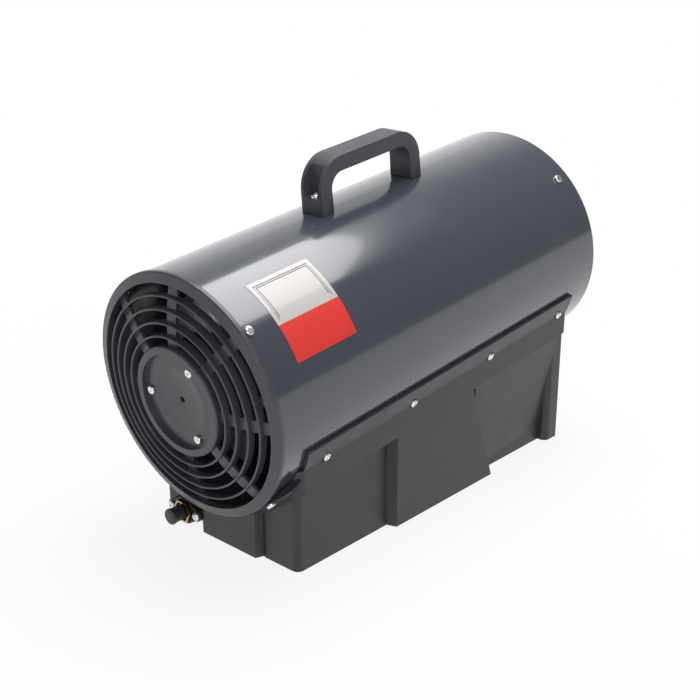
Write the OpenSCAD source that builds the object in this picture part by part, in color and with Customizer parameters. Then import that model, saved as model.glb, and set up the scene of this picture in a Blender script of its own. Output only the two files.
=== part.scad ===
/* [Casing tube] */
// Outer diameter of the casing tube
tube_d = 200; // [194:1:206]
// Length of the casing tube
tube_len = 405; // [380:1:430]
// Thickness of the tube's steel sheet
tube_wall = 1.2; // [0.8:0.1:1.6]
// Angle by which the tube rises towards the hot outlet
tube_tilt = 6; // [4:0.5:8]
// Height of the tube's underside above the ground, at the heater's middle
ground_gap = 57; // [50:1:65]

/* [Base] */
// Distance from each end of the tube to the end of the base
base_end_set = 24.5; // [19:0.5:31]
// Distance from each side of the tube to the side of the base
base_side_set = 8; // [6:0.5:10]
// Wall of the base moulding
base_wall = 3; // [2:0.1:3.5]
// Depth of the deep recesses in the base's walls
deep_recess = 12; // [9:0.5:13]
// Depth of the near side recess beside the air inlet
side_recess = 8.5; // [6:0.5:9]
// Depth of the shallow recesses in the end walls
end_recess = 6; // [4:0.5:7]
// Radius of the base's upright corners
base_corner_r = 8; // [6:0.5:10]
// Width of the band that follows the tube above the recesses
band_w = 7.5; // [6:0.5:9]
// Thickness of the lip that hugs the tube
lip_t = 3; // [2:0.1:3.5]
// Angle below the horizontal at which the lip starts
lip_angle = 17; // [15:0.5:18]
// Thickness of the closing plate under the base
plate_t = 2; // [1.8:0.1:2.5]

/* [Fan guard] */
// Outer radius of the guard's rim beyond the tube's surface
rim_over = 1.3; // [1:0.1:2]
// Thickness of the guard's rim in front of the tube
rim_t = 4; // [3:0.5:5]
// Width of the guard's rim, from the tube's surface inwards
rim_w = 7.1; // [6.5:0.1:9]
// Number of rings between the rim and the hub
ring_count = 4; // [3:1:5]
// Thickness of each ring
ring_t = 2; // [1.6:0.1:2.4]
// Depth of each ring along the air flow
ring_depth = 7; // [6:0.5:8]
// Diameter of the guard's hub
guard_hub_d = 90.6; // [86:0.2:94]
// Height of the guard's dome from the rim's inner edge to the hub
dome_rise = 8.8; // [7:0.1:12]
// Number of radial ribs behind the rings
rib_count = 8; // [6:1:10]
// Width of each radial rib
rib_w = 10; // [7:0.5:11]

/* [Carry handle] */
// Length of the carry handle
handle_len = 120.5; // [112:0.5:130]
// Height of the handle above the tube's crest
handle_h = 44; // [40:0.5:50]
// Width of the handle across the tube
handle_w = 21; // [18:0.5:24]
// Thickness of the handle's legs and grip
handle_t = 13.5; // [12.5:0.5:15]
// Outer radius of the handle's bends
handle_r = 26; // [22:0.5:28]
// Distance of the handle's middle from the tube's middle
handle_shift = 9; // [0:0.5:20]

/* [Fan and motor] */
// Gap between the fan's blades and the casing
fan_gap = 10.8; // [7.8:0.1:14.8]
// Number of fan blades
blade_count = 5; // [4:1:7]
// Angle that each blade covers seen from the front
blade_sweep = 54; // [45:1:56]
// Depth of a blade along the air flow at its tip
blade_depth = 24; // [18:1:26]
// Diameter of the motor's shaft
shaft_d = 6; // [5:0.5:8]
// Width of the motor's laminated core
core_w = 66; // [60:1:70]
// Thickness of the motor's laminated core
core_t = 24; // [20:1:28]

/* [Burner] */
// Gap between the inner flame tube and the casing
flame_gap = 23.8; // [20.8:0.1:28.8]
// Gap between the fan's shaft and the gas pipe behind it
shaft_gap = 4.4; // [3:0.1:8]
// Diameter of the burner cup
cup_d = 56; // [50:1:60]
// Diameter of the copper gas pipes
pipe_d = 8; // [6:0.5:8]

/* [Gas inlet and controls] */
// Diameter of the inlet's thread
inlet_thread_d = 13.1; // [12:0.1:14]
// Diameter of the dust cap
cap_d = 15.5; // [15:0.1:17]
// Width across the flats of the inlet's hexagon
inlet_hex = 19; // [17:0.5:20]
// Travel of the igniter's push button
igniter_travel = 6; // [4:0.5:7]
// Travel of the gas valve's push button
valve_travel = 5; // [4:0.5:6]
// Angle through which the switch rocks
rocker_angle = 16; // [10:1:18]

/* [Hidden] */
$fn = 96;

black = [0.11, 0.11, 0.12];
steel = [0.72, 0.73, 0.75];
brass = [0.80, 0.62, 0.25];
copper = [0.78, 0.42, 0.22];

// Clearance between pieces that are put together
fit = 0.3;
// Radial clearance of a shaft or slide
running = 0.05;
// Radial clearance of a pressed bore
press = 0.01;
// Radial clearance round a screw's shank
screw_gap = 0.05;
// Overrun of every cut
over = 1;
// Length that is longer than the whole heater
far = 3 * tube_len;

tube_r = tube_d / 2;
axis_height = tube_r + ground_gap;
base_len = tube_len - 2 * base_end_set;
base_w = tube_d - 2 * base_side_set;
bore_r = tube_r - tube_wall;
tube_half = tube_len / 2;
seat_r = tube_r + fit;
lip_r = seat_r + lip_t;
half_w = base_w / 2;
half_len = base_len / 2;
// Height, seen from the tube's axis, at which the lip meets the side walls
wall_top = -sqrt(pow(lip_r, 2) - pow(half_w, 2));
lip_end_angle = asin(-wall_top / lip_r) + 3;
band_r = tube_r + band_w;
band_drop = 21;
band_level = wall_top - band_drop;
core_half_w = half_w - deep_recess;
core_half_len = half_len - deep_recess;

// Screws: head diameter, head height and shank diameter of the two sizes in use
screw_head_d = 7.6;
screw_head_h = 2.6;
screw_d = 3.9;
small_head_d = 6.4;
small_head_h = 2.2;
small_d = 2.9;
motor_head_d = 7.4;
// Length of a screw beyond the last piece that it holds
screw_end = 2;
// Gap round a head in its seat
head_gap = 0.5;

// Puts its children on the tube's axis, with X along the tube and Z away from the ground
module on_axis() translate([0, 0, axis_height]) rotate([0, -tube_tilt, 0]) children();

// Turns its children's Z to the given angle, counted from +Y towards the top
module radial(angle) rotate([angle - 90, 0, 0]) children();

// Revolves an outline of [radius, place along the tube] about the tube's axis
module turned() rotate([0, 90, 0]) rotate_extrude() children();

// Cylinder along X from place a to place b
module along(a, b, r) translate([a, 0, 0]) rotate([0, 90, 0]) cylinder(h = b - a, r = r);

// Cylinder along Y from place a to place b
module across(a, b, r) translate([0, b, 0]) rotate([90, 0, 0]) cylinder(h = b - a, r = r);

// Rectangle with round corners, from its low and high corners
module round_rect(low, high, r) {
    translate([low[0] + r, low[1]]) square([high[0] - low[0] - 2 * r, high[1] - low[1]]);
    translate([low[0], low[1] + r]) square([high[0] - low[0], high[1] - low[1] - 2 * r]);
    for (x = [low[0] + r, high[0] - r])
        for (y = [low[1] + r, high[1] - r])
            translate([x, y]) circle(r);
}

// Pan head screw with its head's seat at zero and its shank below
module pan_screw(head_d, head_h, shank_d, reach) {
    dome_r = head_d * 0.62;
    intersection() {
        cylinder(h = head_h, d = head_d);
        translate([0, 0, head_h - dome_r]) sphere(dome_r);
    }
    translate([0, 0, -reach]) cylinder(h = reach + head_h / 2, d = shank_d);
}

// Hole for a screw along Z, from below to above its seat
module screw_hole(shank_d, reach) translate([0, 0, -reach]) cylinder(h = 2 * reach, r = shank_d / 2 + screw_gap);

// Places of the screws round each end of the tube
end_angles = [45, 135, 225, 315];
guard_screw_set = 4.5;
guard_screw_place = -tube_half + guard_screw_set;
outlet_screw_set = 15;
outlet_screw_place = tube_half - outlet_screw_set;
collar_seat_h = 3.2;
collar_seat_r = tube_r + collar_seat_h;

// Places of the four screws along each of the base's lips
lip_seat_sink = 0.5;
lip_seat_r = lip_r - lip_seat_sink;
lip_screw_set = 23.5;
lip_screw_pitch = 2 * (half_len - lip_screw_set) / 3;
lip_screw_angle = 26;
lip_from = -half_len;
lip_end_set = 8;
lip_to = half_len - lip_end_set;

module lip_screw_places() {
    for (side = [-lip_screw_angle, 180 + lip_screw_angle])
        for (i = [-1.5 : 1 : 1.5])
            translate([i * lip_screw_pitch, 0, 0]) radial(side) children();
}

module end_places(place, angles) {
    for (a = angles) translate([place, 0, 0]) radial(a) children();
}

// Casing: one rolled sheet, drilled for every screw that goes through it
pipe_hole_gap = 2;
shell_pipe_hole_d = pipe_d + 2 * pipe_hole_gap;

module outer_shell() {
    color([0.30, 0.33, 0.38])
    on_axis() difference() {
        along(-tube_half, tube_half, tube_r);
        along(-tube_half - over, tube_half + over, bore_r);
        end_places(guard_screw_place, end_angles) translate([0, 0, tube_r]) screw_hole(screw_d, screw_reach);
        end_places(outlet_screw_place, end_angles) translate([0, 0, tube_r]) screw_hole(screw_d, screw_reach);
        lip_screw_places() translate([0, 0, tube_r]) screw_hole(screw_d, screw_reach);
        for (x = handle_screw_places) translate([x, 0, tube_r]) screw_hole(handle_screw_d, screw_reach);
        translate([pipe_rise_place, 0, -tube_r - over]) cylinder(h = screw_reach, d = shell_pipe_hole_d);
    }
}
screw_reach = 8;

// Base: a moulded tub whose side walls run up to the tube and end in a lip along it
core_corner_step = 2;
core_corner_r = base_corner_r - core_corner_step;
panel_slope = 4.5;
near_step = -0.36 * half_len;
mid_step = 0.185 * half_len;
far_step = 0.88 * half_len;
foot_spread = 36;
inlet_panel_from = -42;
inlet_panel_to = 20;
end_panel_half = 46;
panel_draft = 3;

// Raised panel on the +Y side of an outline, from x0 to x1 at its face
module raised(x0, x1, root, face, inset) {
    depth = face - root;
    polygon([[x0 - panel_slope + inset, root - 2 * depth], [x1 + panel_slope - inset, root - 2 * depth],
        [x1 + panel_slope - inset, root - inset], [x1 - inset, face - inset], [x0 + inset, face - inset],
        [x0 - panel_slope + inset, root - inset]]);
}

// Outline of the base's lower part, drawn in by the inset
module low_outline(inset) {
    r = core_corner_r - inset / 2;
    round_rect([-core_half_len + inset, -core_half_w + inset], [core_half_len - inset, core_half_w - inset], r);
    // The corner beside the air inlet is less deep on the -Y side
    round_rect([-half_len + end_recess + inset, -half_w + side_recess + inset],
        [near_step + 2 * panel_slope, inlet_panel_from], r);
    for (side = [0, 1]) mirror([0, side, 0]) {
        raised(near_step, mid_step, core_half_w, half_w, inset);
        round_rect([far_step + inset, half_w / 3], [half_len - inset, half_w - panel_draft - inset], r);
    }
    // Panels in the middle of the end walls
    rotate([0, 0, 90]) raised(inlet_panel_from, inlet_panel_to, core_half_len, half_len, inset);
    rotate([0, 0, -90])
        raised(-end_panel_half, end_panel_half, core_half_len, half_len - end_recess, inset);
}

module high_outline(inset) {
    round_rect([-half_len + inset, -half_w + inset], [half_len - inset, half_w - inset], base_corner_r - inset / 2);
}

// Space of the band that follows the tube, drawn in by the inset
module band_zone(inset) on_axis() {
    translate([-far / 2, -tube_d, band_level + inset]) cube([far, 2 * tube_d, tube_d]);
    along(-far / 2, far / 2, band_r - inset);
}

// Far recess of each side: a wedge that fades out at the band, beside a panel that widens downwards
fade_step = 0.8;

module far_recess(inset) {
    low = -axis_height - half_w;
    high = band_level + inset;
    for (side = [0, 1]) mirror([0, side, 0]) on_axis() {
        rotate([90, 0, 90]) translate([0, 0, mid_step]) linear_extrude(height = far_step - mid_step)
            polygon([[half_w / 2, low], [core_half_w - inset, low], [core_half_w - inset, -axis_height],
                [half_w - inset - fade_step, high], [half_w - inset - fade_step, high + over],
                [half_w / 2, high + over]]);
        rotate([90, 0, 0]) translate([0, 0, -half_w + inset]) linear_extrude(height = half_w / 3)
            polygon([[mid_step - panel_slope - half_w, low], [mid_step + foot_spread - inset, low],
                [mid_step - panel_slope - inset, high], [mid_step - panel_slope - inset, high + over],
                [mid_step - panel_slope - half_w, high + over]]);
    }
}

module tub_block(inset, low) {
    translate([0, 0, low]) linear_extrude(height = axis_height) low_outline(inset);
    intersection() {
        translate([0, 0, low]) linear_extrude(height = axis_height) high_outline(inset);
        union() {
            band_zone(inset);
            far_recess(inset);
        }
    }
}

// Collar under the tube's inlet end: a short cone cut slantwise at its two upper ends
collar_front = -tube_half + fit;
collar_edge = 1.4;
collar_foot_r = band_r - fit;
collar_foot = -(half_len + 0.9 * band_r * sin(tube_tilt)) / cos(tube_tilt);
collar_back = collar_foot + 2 * base_wall;
collar_cut = 47;

module collar() {
    intersection() {
        turned() polygon([[seat_r - collar_edge, collar_front], [seat_r + collar_edge, collar_front],
            [collar_foot_r, collar_foot], [collar_foot_r, collar_back], [seat_r - collar_edge, collar_back]]);
        translate([-half_len, -tube_d, wall_top]) rotate([0, -collar_cut, 0]) translate([-tube_len, 0, -tube_len])
            cube([2 * tube_len, 2 * tube_d, tube_len]);
    }
}

module lips() {
    for (side = [0, 1]) mirror([0, side, 0])
        rotate([0, 90, 0]) rotate([0, 0, 90 - lip_end_angle]) rotate_extrude(angle = lip_end_angle - lip_angle)
            translate([seat_r - fit / 2, lip_from]) square([lip_t + fit / 2, lip_to - lip_from]);
}

// Bosses for the closing plate's screws
boss_d = 10;
boss_h = 14;
boss_sink = 1;
boss_set = 26;
boss_inset = boss_d / 2 - boss_sink;
boss_x = core_half_len - base_wall - boss_set;
boss_places = [for (x = [-boss_x, boss_x]) for (side = [-1, 1])
    [x, side * ((x < 0 && side < 0 ? half_w - side_recess : core_half_w) - base_wall - boss_inset)]];

// Gas inlet: place of its axis and of its flange's seat on the boss
inlet_y = 40.5;
inlet_z = 13.5;
inlet_sink = 1;
inlet_seat = -half_len + inlet_sink;
inlet_pitch = 30;
inlet_half_h = 11;
inlet_flange_t = 3;
inlet_ear_r = 5;
inlet_depth = deep_recess + base_wall;

module inlet_outline() {
    ear = 0.9 * inlet_ear_r;
    for (side = [0, 1]) mirror([side, 0]) {
        polygon([[-ear, -inlet_half_h], [ear, -inlet_half_h], [inlet_pitch / 2, -ear], [inlet_pitch / 2, ear],
            [ear, inlet_half_h], [-ear, inlet_half_h]]);
        translate([inlet_pitch / 2, 0]) circle(inlet_ear_r);
    }
}

// Puts its children on the gas inlet's axis, with Z pointing out of the heater
module at_inlet(place) translate([place, inlet_y, inlet_z]) rotate([0, -90, 0]) rotate([0, 0, 90]) children();

// Controls on the hidden side, in the recess beside the air inlet
control_face = core_half_w;
control_drop = 23;
control_z = ground_gap - control_drop;
switch_x = -half_len * 72 / 89;
valve_x = -half_len * 111 / 178;
igniter_x = -half_len * 41 / 89;
switch_w = 22;
switch_h = 30;
valve_bush_d = 20;
igniter_bush_d = 18;
// Width of the ring by which a nut or collar covers the edge of its hole
bush_step = 3;

gland_set = 22;
gland_drop = 27;
gland_x = near_step + gland_set;
gland_z = ground_gap - gland_drop;
gland_d = 16;

module tub_holes() {
    for (p = boss_places) translate([p[0], p[1], -over]) cylinder(h = boss_h, r = small_d / 2 + screw_gap);
    at_inlet(inlet_seat) {
        translate([0, 0, -inlet_depth - over]) cylinder(h = inlet_depth + 2 * over, r = inlet_body_d / 2 + running);
        for (side = [-1, 1]) translate([side * inlet_pitch / 2, 0, 0]) screw_hole(small_d, inlet_screw_reach);
    }
    translate([switch_x - switch_w / 2, control_face - base_wall - over, control_z - switch_h / 2])
        cube([switch_w, base_wall + 2 * over, switch_h]);
    translate([valve_x, 0, control_z]) across(control_face - base_wall - over,
        control_face + over, valve_bush_d / 2 - bush_step);
    translate([igniter_x, 0, control_z])
        across(control_face - base_wall - over, control_face + over, igniter_bush_d / 2 - bush_step);
    translate([gland_x, 0, gland_z]) across(half_w - base_wall - over, half_w + over, gland_d / 2 - bush_step);
}
inlet_body_d = 14;
inlet_screw_reach = 12;

module base_tub() {
    color(black) difference() {
        union() {
            intersection() {
                difference() {
                    tub_block(0, 0);
                    difference() {
                        tub_block(base_wall, -over);
                        // Pad behind the gas inlet and the bosses stay solid
                        inlet_pad();
                        for (p = boss_places) translate([p[0], p[1], plate_t + fit]) cylinder(h = boss_h, d = boss_d);
                    }
                }
                on_axis() translate([-far / 2, -tube_d, -far]) cube([far, 2 * tube_d, far + wall_top]);
            }
            inlet_pad();
            on_axis() {
                collar();
                lips();
            }
        }
        on_axis() {
            along(-far, far, seat_r);
            lip_screw_places() translate([0, 0, lip_seat_r]) {
                screw_hole(screw_d, screw_reach);
                cylinder(h = screw_reach, d = screw_head_d + 2 * head_gap);
            }
            end_places(guard_screw_place, [225, 315]) translate([0, 0, collar_seat_r]) {
                screw_hole(screw_d, screw_reach);
                cylinder(h = screw_reach, d = screw_head_d + 2 * head_gap);
            }
        }
        tub_holes();
    }
}

// Boss that brings the gas inlet forward of its recessed wall
module inlet_pad() at_inlet(inlet_seat) mirror([0, 0, 1])
    linear_extrude(height = inlet_depth) inlet_outline();

module bottom_plate() {
    color([0.16, 0.16, 0.17]) difference() {
        linear_extrude(height = plate_t) low_outline(base_wall + fit);
        for (p = boss_places) translate([p[0], p[1], 0]) countersink(screw_gap);
    }
}

module countersink(grow) {
    slope_h = (small_head_d - small_d) / 2;
    translate([0, 0, -over]) cylinder(h = far, r = small_d / 2 + grow);
    cylinder(h = slope_h, r1 = small_head_d / 2 + grow, r2 = small_d / 2 + grow);
}

bottom_screw_gap = 3;
module bottom_screws() {
    reach = boss_h - bottom_screw_gap;
    color(steel) for (p = boss_places) translate([p[0], p[1], 0]) intersection() {
        countersink(0);
        cylinder(h = reach, d = small_head_d);
    }
}

// Fan guard: a domed moulding of thin rings on radial ribs
rim_r = tube_r + rim_over;
rim_in_r = tube_r - rim_w;
rim_front = -tube_half - rim_t;
rim_slope = 1.8;
guard_hub_r = guard_hub_d / 2;
ring_pitch = (rim_in_r - guard_hub_r + 1.45 * ring_t) / (ring_count + 1);
spigot_r = bore_r - fit;
spigot_t = 2.5;
spigot_len = 14;
rib_set_back = 4.5;
rib_t = 3;
// Depth by which the ribs run into the hub and into the rim
rib_hub_sink = 2;
rib_rim_sink = 3;
rim_edge_r = 1.6;
hub_front = rim_front - rim_slope - dome_rise;
hub_ring_w = 6.2;
hub_recess_r = guard_hub_r - hub_ring_w;
hub_recess = 4.2;
hub_floor_t = 2.5;
hub_skirt = 12;
hub_dish_r = 27;
hub_dish = 2.4;
hub_hole_r = 2.6;
hub_screw_r = 32.6;
hub_angles = [0, 120, 240];
hub_floor = hub_front + hub_recess;
hub_post_len = 13;
hub_post_r = 4.5;
hub_edge = 1;
hub_wall = 2.5;
motor_face = hub_floor + hub_post_len;

// Place of the dome's front at a radius
function dome(r) = hub_front + dome_rise * pow(max(0, r - guard_hub_r) / (rim_in_r - guard_hub_r), 1.6);

module fan_guard() {
    rib_from = guard_hub_r - rib_hub_sink;
    rib_to = rim_in_r + rib_rim_sink;
    rib_radii = [for (i = [0 : 6]) rib_from + i * (rib_to - rib_from) / 6];
    edge_r = rim_edge_r;
    color(black) on_axis() difference() {
        union() {
            // Rim with its round outer edge, and the spigot inside the tube
            turned() {
                polygon([[rim_in_r, rim_front - rim_slope], [rim_r - edge_r, rim_front], [rim_r, rim_front + edge_r],
                    [rim_r, -tube_half], [spigot_r, -tube_half], [spigot_r, -tube_half + spigot_len],
                    [spigot_r - spigot_t, -tube_half + spigot_len], [spigot_r - spigot_t, -tube_half - over],
                    [rim_in_r, rim_front - rim_slope + ring_depth]]);
                translate([rim_r - edge_r, rim_front + edge_r]) circle(edge_r);
            }
            for (i = [1 : ring_count]) turned() {
                r = rim_in_r + 0.85 * ring_t - (ring_count + 1 - i) * ring_pitch;
                translate([r - ring_t, dome(r) + ring_t / 2]) square([ring_t, ring_depth - ring_t / 2]);
                translate([r - ring_t / 2, dome(r) + ring_t / 2]) circle(ring_t / 2);
            }
            // Radial ribs, which follow the dome behind the rings' front edges
            intersection() {
                turned() polygon(concat([for (r = rib_radii) [r, dome(r) + rib_set_back]],
                    [for (i = [6 : -1 : 0]) [rib_radii[i], dome(rib_radii[i]) + rib_set_back + rib_t]]));
                for (i = [0 : rib_count - 1]) rotate([i * 360 / rib_count, 0, 0])
                    translate([-far / 2, -rib_w / 2, 0]) cube([far, rib_w, tube_r]);
            }
            turned() polygon([[hub_hole_r, hub_floor + hub_dish], [hub_dish_r * 0.7, hub_floor + hub_dish * 0.5],
                [hub_dish_r, hub_floor], [hub_recess_r, hub_floor], [hub_recess_r, hub_front],
                [guard_hub_r - hub_edge, hub_front], [guard_hub_r, hub_front + hub_edge],
                [guard_hub_r, hub_front + hub_skirt], [guard_hub_r - hub_wall, hub_front + hub_skirt],
                [guard_hub_r - hub_wall, hub_floor + hub_floor_t],
                [hub_dish_r, hub_floor + hub_floor_t], [hub_hole_r, hub_floor + hub_floor_t + hub_dish]]);
            for (a = hub_angles) rotate([a, 0, 0]) translate([0, hub_screw_r, 0])
                along(hub_floor + hub_floor_t / 2, motor_face, hub_post_r);
        }
        for (a = hub_angles) rotate([a, 0, 0]) translate([0, hub_screw_r, 0])
            along(hub_floor - over, motor_face + over, small_d / 2 + screw_gap);
        end_places(guard_screw_place, end_angles) translate([0, 0, tube_r]) screw_hole(screw_d, screw_reach);
    }
}

module hub_screws() {
    color(steel) on_axis() for (a = hub_angles) rotate([a, 0, 0]) translate([hub_floor, hub_screw_r, 0])
        rotate([0, -90, 0])
            pan_screw(motor_head_d, small_head_h, small_d, motor_face - hub_floor + bracket_t + screw_end);
}

module guard_screws() {
    color(steel) on_axis() {
        end_places(guard_screw_place, [45, 135])
            translate([0, 0, tube_r]) pan_screw(screw_head_d, screw_head_h, screw_d, screw_reach - screw_end);
        end_places(guard_screw_place, [225, 315])
            translate([0, 0, collar_seat_r]) pan_screw(screw_head_d, screw_head_h, screw_d, screw_reach);
    }
}

module outlet_screws() {
    color(steel) on_axis() end_places(outlet_screw_place, end_angles)
        translate([0, 0, tube_r]) pan_screw(screw_head_d, screw_head_h, screw_d, screw_reach);
}

module flange_screws() {
    color(steel) on_axis() lip_screw_places()
        translate([0, 0, lip_seat_r]) pan_screw(screw_head_d, screw_head_h, screw_d, screw_reach);
}

// Carry handle: a moulded bridge with a screw pocket in the outer face of each leg
handle_top = tube_r + handle_h;
handle_edge_r = 4;
handle_sink = 4;
handle_foot = tube_r - handle_sink;
handle_screw_d = 4.9;
handle_screw_head_d = 8.6;
handle_screw_head_h = 3.2;
pocket_w = 14.5;
pocket_sill = 12;
pocket_web = 3;
pocket_roof = 2;
pocket_floor = tube_r + pocket_sill;
pocket_depth = handle_t - pocket_web;
handle_half = handle_len / 2;
handle_screw_set = 5.6;
handle_screw_places = [handle_shift - handle_half + handle_screw_set, handle_shift + handle_half - handle_screw_set];

// Section of the handle, from the outer face inwards
module handle_section() round_rect([-handle_w / 2, 0], [handle_w / 2, handle_t], handle_edge_r);

module handle_half_solid() {
    // Leg
    translate([-handle_half, 0, handle_foot]) rotate([0, 0, -90])
        linear_extrude(height = handle_top - handle_r - handle_foot) mirror([1, 0, 0]) handle_section();
    // Bend
    translate([-handle_half + handle_r, 0, handle_top - handle_r]) rotate([90, 0, 0]) rotate([0, 0, 90])
        rotate_extrude(angle = 90) translate([handle_r, 0]) rotate([0, 0, 90]) handle_section();
    // Half of the grip
    translate([-handle_half + handle_r, 0, handle_top]) rotate([90, 0, 90])
        linear_extrude(height = handle_half - handle_r) mirror([0, 1, 0]) handle_section();
}

module carry_handle() {
    color([0.17, 0.17, 0.18]) on_axis() difference() {
        translate([handle_shift, 0, 0]) for (side = [0, 1]) mirror([side, 0, 0]) difference() {
            handle_half_solid();
            // Pocket, with a bore down through its floor
            translate([-handle_half - over, -pocket_w / 2, pocket_floor])
                cube([pocket_depth + over, pocket_w, handle_h - pocket_sill - handle_t / 2 - pocket_roof]);
            translate([-handle_half + handle_screw_set, 0, pocket_floor]) screw_hole(handle_screw_d, pocket_floor);
        }
        along(-far, far, tube_r + fit / 2);
    }
}

module handle_screws() {
    color(steel) on_axis() for (x = handle_screw_places) translate([x, 0, pocket_floor])
        pan_screw(handle_screw_head_d, handle_screw_head_h, handle_screw_d,
            pocket_floor - bore_r + nut_t + screw_end);
}

nut_t = 4;
nut_d = 9.2;
module handle_nuts() {
    color(steel) on_axis() for (x = handle_screw_places) translate([x, 0, bore_r - nut_t - fit / 2]) difference() {
        cylinder(h = nut_t, d = nut_d, $fn = 6);
        translate([0, 0, -over]) cylinder(h = nut_t + 2 * over, r = handle_screw_d / 2 + screw_gap);
    }
}

// Motor: a shaded pole motor on three screws behind the guard's hub
bracket_t = 3;
cup_r = 10;
cup_len = 9;
core_set = 12;
core_from = motor_face + core_set;
core_to = core_from + core_t;
rotor_r = core_w * 0.24;
air_gap = 0.5;
core_corner = 8;
coil_len = 8;
coil_gap = 3;
rear_set = 11;
rear_face = core_to + rear_set;
lug_r = 5;
// Length by which rods, rotor and shaft stand out of what holds them
rod_end = 1;
tie_r = core_w * 0.5;
tie_d = 4;

module motor_core() {
    color([0.42, 0.43, 0.45]) on_axis() difference() {
        translate([core_from, 0, 0]) rotate([90, 0, 90]) linear_extrude(height = core_t)
            round_rect([-core_w / 2, -core_w / 2], [core_w / 2, core_w / 2], core_corner);
        along(core_from - over, core_to + over, rotor_r + air_gap);
        for (a = [45 : 90 : 315]) rotate([a, 0, 0]) translate([0, tie_r, 0])
            along(core_from - over, core_to + over, tie_d / 2 + screw_gap);
    }
}

// Winding heads: a copper bundle in front of the core and one behind it
module motor_windings() {
    inner = rotor_r + air_gap + coil_gap;
    color(copper) on_axis() for (low = [core_from - coil_len, core_to])
        turned() round_rect([inner, low], [tie_r - tie_d - fit, low + coil_len], coil_len / 3);
}

// Bracket with a bearing cup and four tie rods' feet; the front one has the three hub lugs too
module bracket(face, turn, lugs) {
    difference() {
        union() {
            translate([face, 0, 0]) mirror([turn, 0, 0]) along(0, cup_len, cup_r);
            translate([face, 0, 0]) mirror([turn, 0, 0]) intersection() {
                along(0, bracket_t, tie_r + tie_d);
                for (a = [45, 135]) rotate([a, 0, 0])
                    translate([0, -far / 2, -tie_d * 1.3]) cube([far, far, tie_d * 2.6]);
            }
            if (lugs) for (a = hub_angles) rotate([a, 0, 0]) {
                translate([face, 0, -lug_r]) cube([bracket_t, hub_screw_r, 2 * lug_r]);
                translate([0, hub_screw_r, 0]) along(face, face + bracket_t, lug_r);
            }
        }
        along(face - far / 10, face + far / 10, shaft_d / 2 + running);
        for (a = [45 : 90 : 315]) rotate([a, 0, 0]) translate([0, tie_r, 0])
            along(face - far / 10, face + far / 10, tie_d / 2 + screw_gap);
        if (lugs) for (a = hub_angles) rotate([a, 0, 0]) translate([0, hub_screw_r, 0])
            along(face - over, face + bracket_t + over, small_d / 2 + screw_gap);
    }
}

module motor_front_bracket() {
    color([0.75, 0.76, 0.78]) on_axis() {
        bracket(motor_face, 0, true);
        // Tie rods, with spacers to the core
        for (a = [45 : 90 : 315]) rotate([a, 0, 0]) translate([0, tie_r, 0]) {
            difference() {
                along(motor_face + bracket_t, core_from, tie_d);
                along(motor_face, core_from + over, tie_d / 2 + screw_gap);
            }
            along(motor_face, rear_face + rod_end, tie_d / 2);
        }
    }
}

module motor_rear_bracket() {
    color([0.75, 0.76, 0.78]) on_axis() {
        bracket(rear_face, 1, false);
        for (a = [45 : 90 : 315]) rotate([a, 0, 0]) translate([0, tie_r, 0]) difference() {
            along(core_to, rear_face - bracket_t, tie_d);
            along(core_to - over, rear_face, tie_d / 2 + screw_gap);
        }
    }
}

// Shaft with the squirrel cage rotor
fan_set = 4;
fan_front = rear_face + fan_set;
fan_hub_r = 19;
fan_hub_len = 22;
shaft_over = 5;
shaft_end = fan_front + fan_hub_len + shaft_over;
fan_recess_r = 9;
fan_hub_face = 4;
clip_w = 3;

module motor_shaft() {
    color([0.62, 0.63, 0.65]) on_axis() {
        along(motor_face + rod_end, shaft_end, shaft_d / 2);
        along(core_from - rod_end, core_to + rod_end, rotor_r);
    }
}

// Fan: pressed blades, each a curved plate whose pitch falls towards the tip
blade_t = 1.6;
blade_root = 3;
blade_rows = 7;
blade_cols = 6;

// Point of a blade at the share t of its length and s of its sweep
function blade_point(t, s, face) = let(
        r = fan_hub_r - blade_root + t * (bore_r - fan_gap - fan_hub_r + blade_root),
        sweep = blade_sweep * (0.72 + 0.28 * sin(90 * t)) * (1 - 0.22 * pow(max(0, t - 0.75) / 0.25, 2)),
        angle = (s - 0.5) * sweep + 10 * t,
        depth = blade_depth * (0.78 + 0.22 * t),
        camber = 0.16 * depth * sin(180 * s),
        u = fan_front + fan_hub_len / 2 + (s - 0.5) * depth * 0.92 - camber + face * blade_t / 2)
    [u, r * cos(angle), r * sin(angle)];

module blade() {
    n = blade_cols + 1;
    m = (blade_rows + 1) * n;
    points = [for (face = [-1, 1]) for (i = [0 : blade_rows]) for (j = [0 : blade_cols])
        blade_point(i / blade_rows, j / blade_cols, face)];
    quads = [for (i = [0 : blade_rows - 1]) for (j = [0 : blade_cols - 1]) let(a = i * n + j)
        [a, a + n, a + n + 1, a + 1]];
    // Each quad is split, and the second face runs the other way round
    front = [for (q = quads) each [[q[0], q[1], q[2]], [q[0], q[2], q[3]]]];
    back = [for (f = front) [f[2] + m, f[1] + m, f[0] + m]];
    edge = concat([for (j = [0 : blade_cols - 1]) j], [for (i = [0 : blade_rows - 1]) i * n + blade_cols],
        [for (j = [blade_cols : -1 : 1]) blade_rows * n + j], [for (i = [blade_rows : -1 : 1]) i * n]);
    sides = [for (k = [0 : len(edge) - 1]) let(a = edge[k], b = edge[(k + 1) % len(edge)])
        each [[a, b, a + m], [b, b + m, a + m]]];
    polyhedron(points = points, faces = concat(front, back, sides));
}

module fan_impeller() {
    color([0.66, 0.67, 0.68]) on_axis() difference() {
        union() {
            along(fan_front, fan_front + fan_hub_len, fan_hub_r);
            for (i = [0 : blade_count - 1]) rotate([i * 360 / blade_count, 0, 0]) blade();
        }
        along(fan_front - over, fan_front + fan_hub_len - fan_hub_face, fan_recess_r);
        along(fan_front - over, fan_front + fan_hub_len + over, shaft_d / 2 + press);
    }
}

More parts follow.
